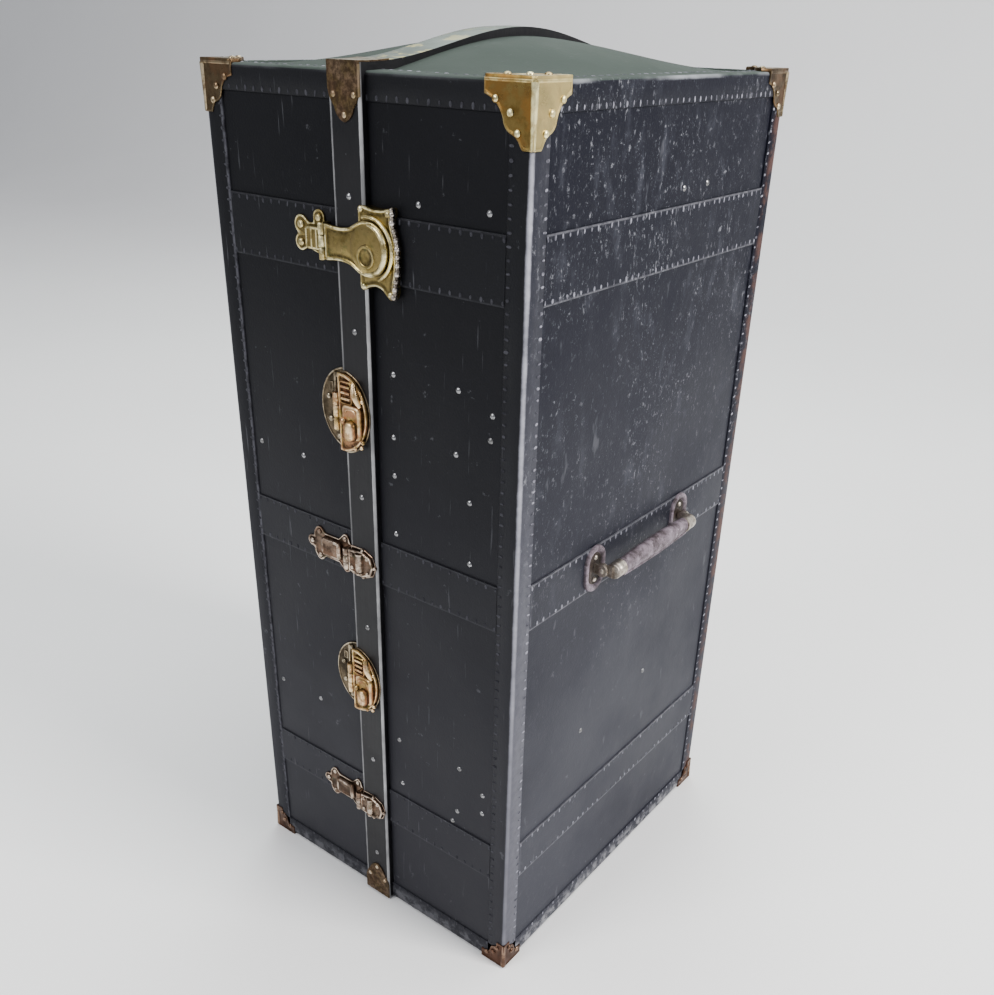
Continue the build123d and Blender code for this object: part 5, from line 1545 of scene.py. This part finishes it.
def handle(side_name, turn, fixed_body):
    """Loops, lugs, ends and grip of one handle; turn is the side it hangs on."""
    place = on_side(turn)
    pivot, grip_out = 12.0 + trim, 24.0 + trim
    moving_body = f"{side_name}_handle"
    loops, tongues = Piece(), Piece()
    for end in (-1, 1):
        lug_y = middle_y + end * lug_reach
        shape = plank(lug_y, handle_z, 22.0, 31.5, 21.9)
        loops.pressed(shape, (lug_y, handle_z), loop_sheet, place, 84, 50)
        tongue = plank(lug_y, handle_z, 12.6, 22.0, 12.5)
        raised = rolled_edge(trim, trim + 2.2, 1.8, 0.6, 0.8)
        tongues.pressed(tongue, (lug_y, handle_z), raised, place, 60, 40)
    tongues.finish(f"{side_name}_handle_tongues", dark_leather, fixed_body, slot="handle_leather")
    loops.finish(f"{side_name}_handle_loops", grip_leather, fixed_body, slot="handle_leather")

    lugs = Piece()
    for end in (-1, 1):
        lug_y = middle_y + end * lug_reach
        for offset in (-15.5, 15.5):
            lugs.head(place(lug_y, handle_z + offset, trim + 1.6), (turn, 0, 0), 3.6, 2.4)
        profile = [(-2.0, 7.2, 0.4), (-1.6, 8.2, 0.8), (1.6, 8.2, 0.8), (2.0, 7.2, 0.4)]
        lugs.turned(profile, place(lug_y, handle_z, pivot), (0, 1, 0), 28)
        root = [place(lug_y, handle_z, out) for out in np.linspace(trim + 1, pivot, 5)]
        lugs.bead(root, lambda t: 7.6 - 1.0 * t, count=16, up=(0, 1, 0), flat=0.25, polish=0.6)
        lugs.head(place(lug_y + end * 2.0, handle_z, pivot), (0, end, 0), 4.2, 2.0)
    replaced = [f"{side_name}_handle_brackets"]
    lugs.finish(f"{side_name}_handle_lugs", handle_metal, fixed_body, replaced, "handle_metal")

    ends = Piece()
    for end in (-1, 1):
        arm_y = middle_y + end * (lug_reach - 4.3)
        eye = [(-2.0, 7.0, 0.4), (-1.5, 8.3, 0.8), (1.5, 8.3, 0.8), (2.0, 7.0, 0.4)]
        ends.turned(eye, place(arm_y, handle_z, pivot), (0, 1, 0), 28)
        reach = [place(arm_y, handle_z, out) for out in np.linspace(pivot, grip_out + 1, 6)]
        ends.bead(reach, 8.2, count=16, up=(0, 1, 0), flat=0.24, polish=0.6)
        cup = [
            (0.0, 8.2, 0.5), (0.6, 9.6, 0.9), (3.0, 10.2, 1.0), (5.0, 9.6, 0.5),
            (6.2, 9.5, 0.4), (7.4, 10.2, 1.0), (12.0, 10.2, 0.8), (15.0, 10.1, 0.7),
            (17.4, 10.6, 1.0), (19.4, 10.7, 1.0), (20.2, 10.0, 0.5),
        ]
        ends.turned(cup, place(middle_y + end * 100.2, handle_z, grip_out), (0, -end, 0), 32)
        pin = [(0, 2.9, 0.5), (7.6, 2.9, 0.5)]
        ends.turned(pin, place(arm_y - end * 1, handle_z, pivot), (0, end, 0), 16)
    replaced = [f"{side_name}_handle_ferrules"]
    ends.finish(f"{side_name}_handle_ends", handle_metal, moving_body, replaced, "handle_metal")

    grip = Piece()
    rings = []
    for t in np.linspace(-1, 1, 41):
        fullness = 10.0 + 2.6 * max(cos(t * pi / 2), 0) ** 0.8
        centre = place(middle_y + t * 82, handle_z, grip_out)
        points = []
        for k in range(32):
            a = tau * k / 32
            ridge = 0.10 * np.exp(-((a - 4.35) / 0.22) ** 2)
            groove = 0.05 * np.exp(-((a - 4.0) / 0.15) ** 2)
            wobble = 1.0 + 0.012 * sin(9 * t + 3 * a) + 0.01 * sin(17 * t + a)
            r = fullness * (1.0 + ridge - groove) * wobble
            x = centre[0] + turn * r * 0.8 * cos(a) * MM
            points.append((x, centre[1], centre[2] + r * sin(a) * MM))
        rings.append(points)
    grip.swept(rings)
    welt = [
        place(middle_y + t * 80, handle_z - 9.5 - 2.0 * cos(t * pi / 2), grip_out + 5.0)
        for t in np.linspace(-1, 1, 24)
    ]
    grip.bead(welt, 1.7)
    replaced = [f"{side_name}_handle_grip"]
    name = f"{side_name}_sewn_grip"
    grip.finish(name, grip_leather, moving_body, replaced, "handle_leather", 60)


handle("right", 1, "drawer_half")
handle("left", -1, "hanging_half")

# %% [markdown]
# ## Inside
# The drawers keep their CAD boxes in cloth. Their leather pulls and the wooden hangers are
# made again with rounded sections, because a plain extrusion looks sawn.


# %% Drawer pulls
def pull(number):
    """A strap that bows away from the drawer's front between two studs."""
    body = f"drawer_{number}"
    low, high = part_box(f"drawer_{number}_pull")
    centre = (low + high) / 2
    piece = Piece()
    rings = []
    for t in np.linspace(-1, 1, 33):
        y = centre.y + t * (high.y - low.y) / 2
        out = high.x - (high.x - low.x - 0.0024) * (1 - t**2) ** 0.9
        half = (high.z - low.z) / 2 * (0.86 + 0.14 * t**4)
        ring = []
        for k in range(16):
            a = tau * k / 16
            lift = 0.0019 * (abs(sin(a)) ** 0.7) * (1 if sin(a) > 0 else -1)
            ring.append((out - 0.0006 + lift * 0.9, y, centre.z + half * cos(a)))
        rings.append(ring)
    piece.swept(rings)
    piece.finish(f"{body}_leather_pull", pull_leather, body, [f"{body}_pull"], "pull_leather")
    studs = Piece()
    for end in (-1, 1):
        studs.head((high.x - 0.0035, centre.y + end * 0.041, centre.z), (-1, 0, 0), 4.0, 2.0)
    studs.finish(f"{body}_pull_studs", rivet_metal, body, slot="steel_rivets")


for number in range(1, 5):
    pull(number)


# %% Hangers
def hangers():
    """Three shaped hangers with wire hooks round the trolley's rail."""
    low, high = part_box("garment_hangers")
    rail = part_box("hanger_trolley")[0].z + 0.006
    span = (high.y - low.y) / 2
    middle_x = (low.x + high.x) / 2
    hook_radius, hook_tip = 0.0083, radians(175)
    wood, hooks = Piece(), Piece()
    for index in (-1, 0, 1):
        x = middle_x + index * 0.046
        rings = []
        for t in np.linspace(-1, 1, 49):
            y = middle_y * MM + t * (span - 0.001)
            fall = 0.052 * (0.35 * abs(t) ** 1.2 + 0.65 * t**2) if abs(t) > 1e-6 else 0.0
            z = rail - 0.052 - 0.012 - fall
            tall = 0.0118 * (1 - 0.25 * abs(t) ** 6)
            wide = 0.0043 * (1 - 0.3 * abs(t) ** 8)
            rings.append([
                (x + wide * cos(tau * k / 16), y, z + tall * sin(tau * k / 16)) for k in range(16)
            ])
        wood.swept(rings)
        hook = [
            (x, middle_y * MM + hook_radius * cos(a), rail + hook_radius * sin(a))
            for a in np.linspace(hook_tip, radians(-90), 26)
        ]
        shank = np.linspace(rail - hook_radius - 0.002, rail - 0.054, 10)
        hook += [(x, middle_y * MM, z) for z in shank]
        hooks.bead(hook, 1.9, count=10, up=(1, 0, 0))
        tip_y = middle_y * MM + hook_radius * cos(hook_tip)
        hooks.head((x, tip_y, rail), (0, 0, -1), 2.6, 2.6)
    wood.finish("beech_hangers", hanger_wood, "trolley", ["garment_hangers"], "hanger_wood", 60)
    hooks.finish("hanger_hooks", trolley_metal, "trolley", slot="trolley_steel")


hangers()

# %% [markdown]
# ## Small rivets on the rear hinges
# The hinge leaves are held by domed rivets, one pair on each leaf.

# %% Rear hinge rivets
for half in halves:
    low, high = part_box(f"{half}_hinge_leaves")
    piece = Piece()
    for band_low, band_high in bands.values():
        middle_z = (band_low + band_high) / 2
        for offset in (-18, 18):
            x = parting_x + sides[half] * 23
            piece.head(on_rear(x, middle_z + offset, trim + 1.8), (0, 1, 0), 3.2, 1.8)
    piece.finish(f"{half}_hinge_rivets", rivet_metal, half, slot="steel_rivets")

# %% [markdown]
# ## Floor
# One sheet runs under the trunk and up behind it, so no horizon shows.

# %% Floor sheet
floor_piece = bmesh.new()
profile = [(y, 0.0) for y in np.linspace(-7, 3.2, 12)]
profile += [(3.2 + 2.0 * sin(a), 2.0 * (1 - cos(a))) for a in np.linspace(0.1, pi / 2, 14)]
profile += [(5.2, 6.0)]
rows = [[floor_piece.verts.new((x, y, z)) for x in (-18, 18)] for y, z in profile]
for first, second in zip(rows, rows[1:]):
    floor_piece.faces.new((first[0], first[1], second[1], second[0]))
floor_data = bpy.data.meshes.new("studio_sheet")
floor_piece.to_mesh(floor_data)
floor_piece.free()
floor_data.shade_smooth()
paper = Finish("pale_studio_paper", specular=0.1)
floor_data.materials.append(paper.done(
    paper.mix(paper.noise(1.2, 2), (0.86, 0.86, 0.86), (0.9, 0.9, 0.9)), 0.85
))
studio = bpy.data.objects.new("studio_sheet", floor_data)
bpy.context.scene.collection.objects.link(studio)
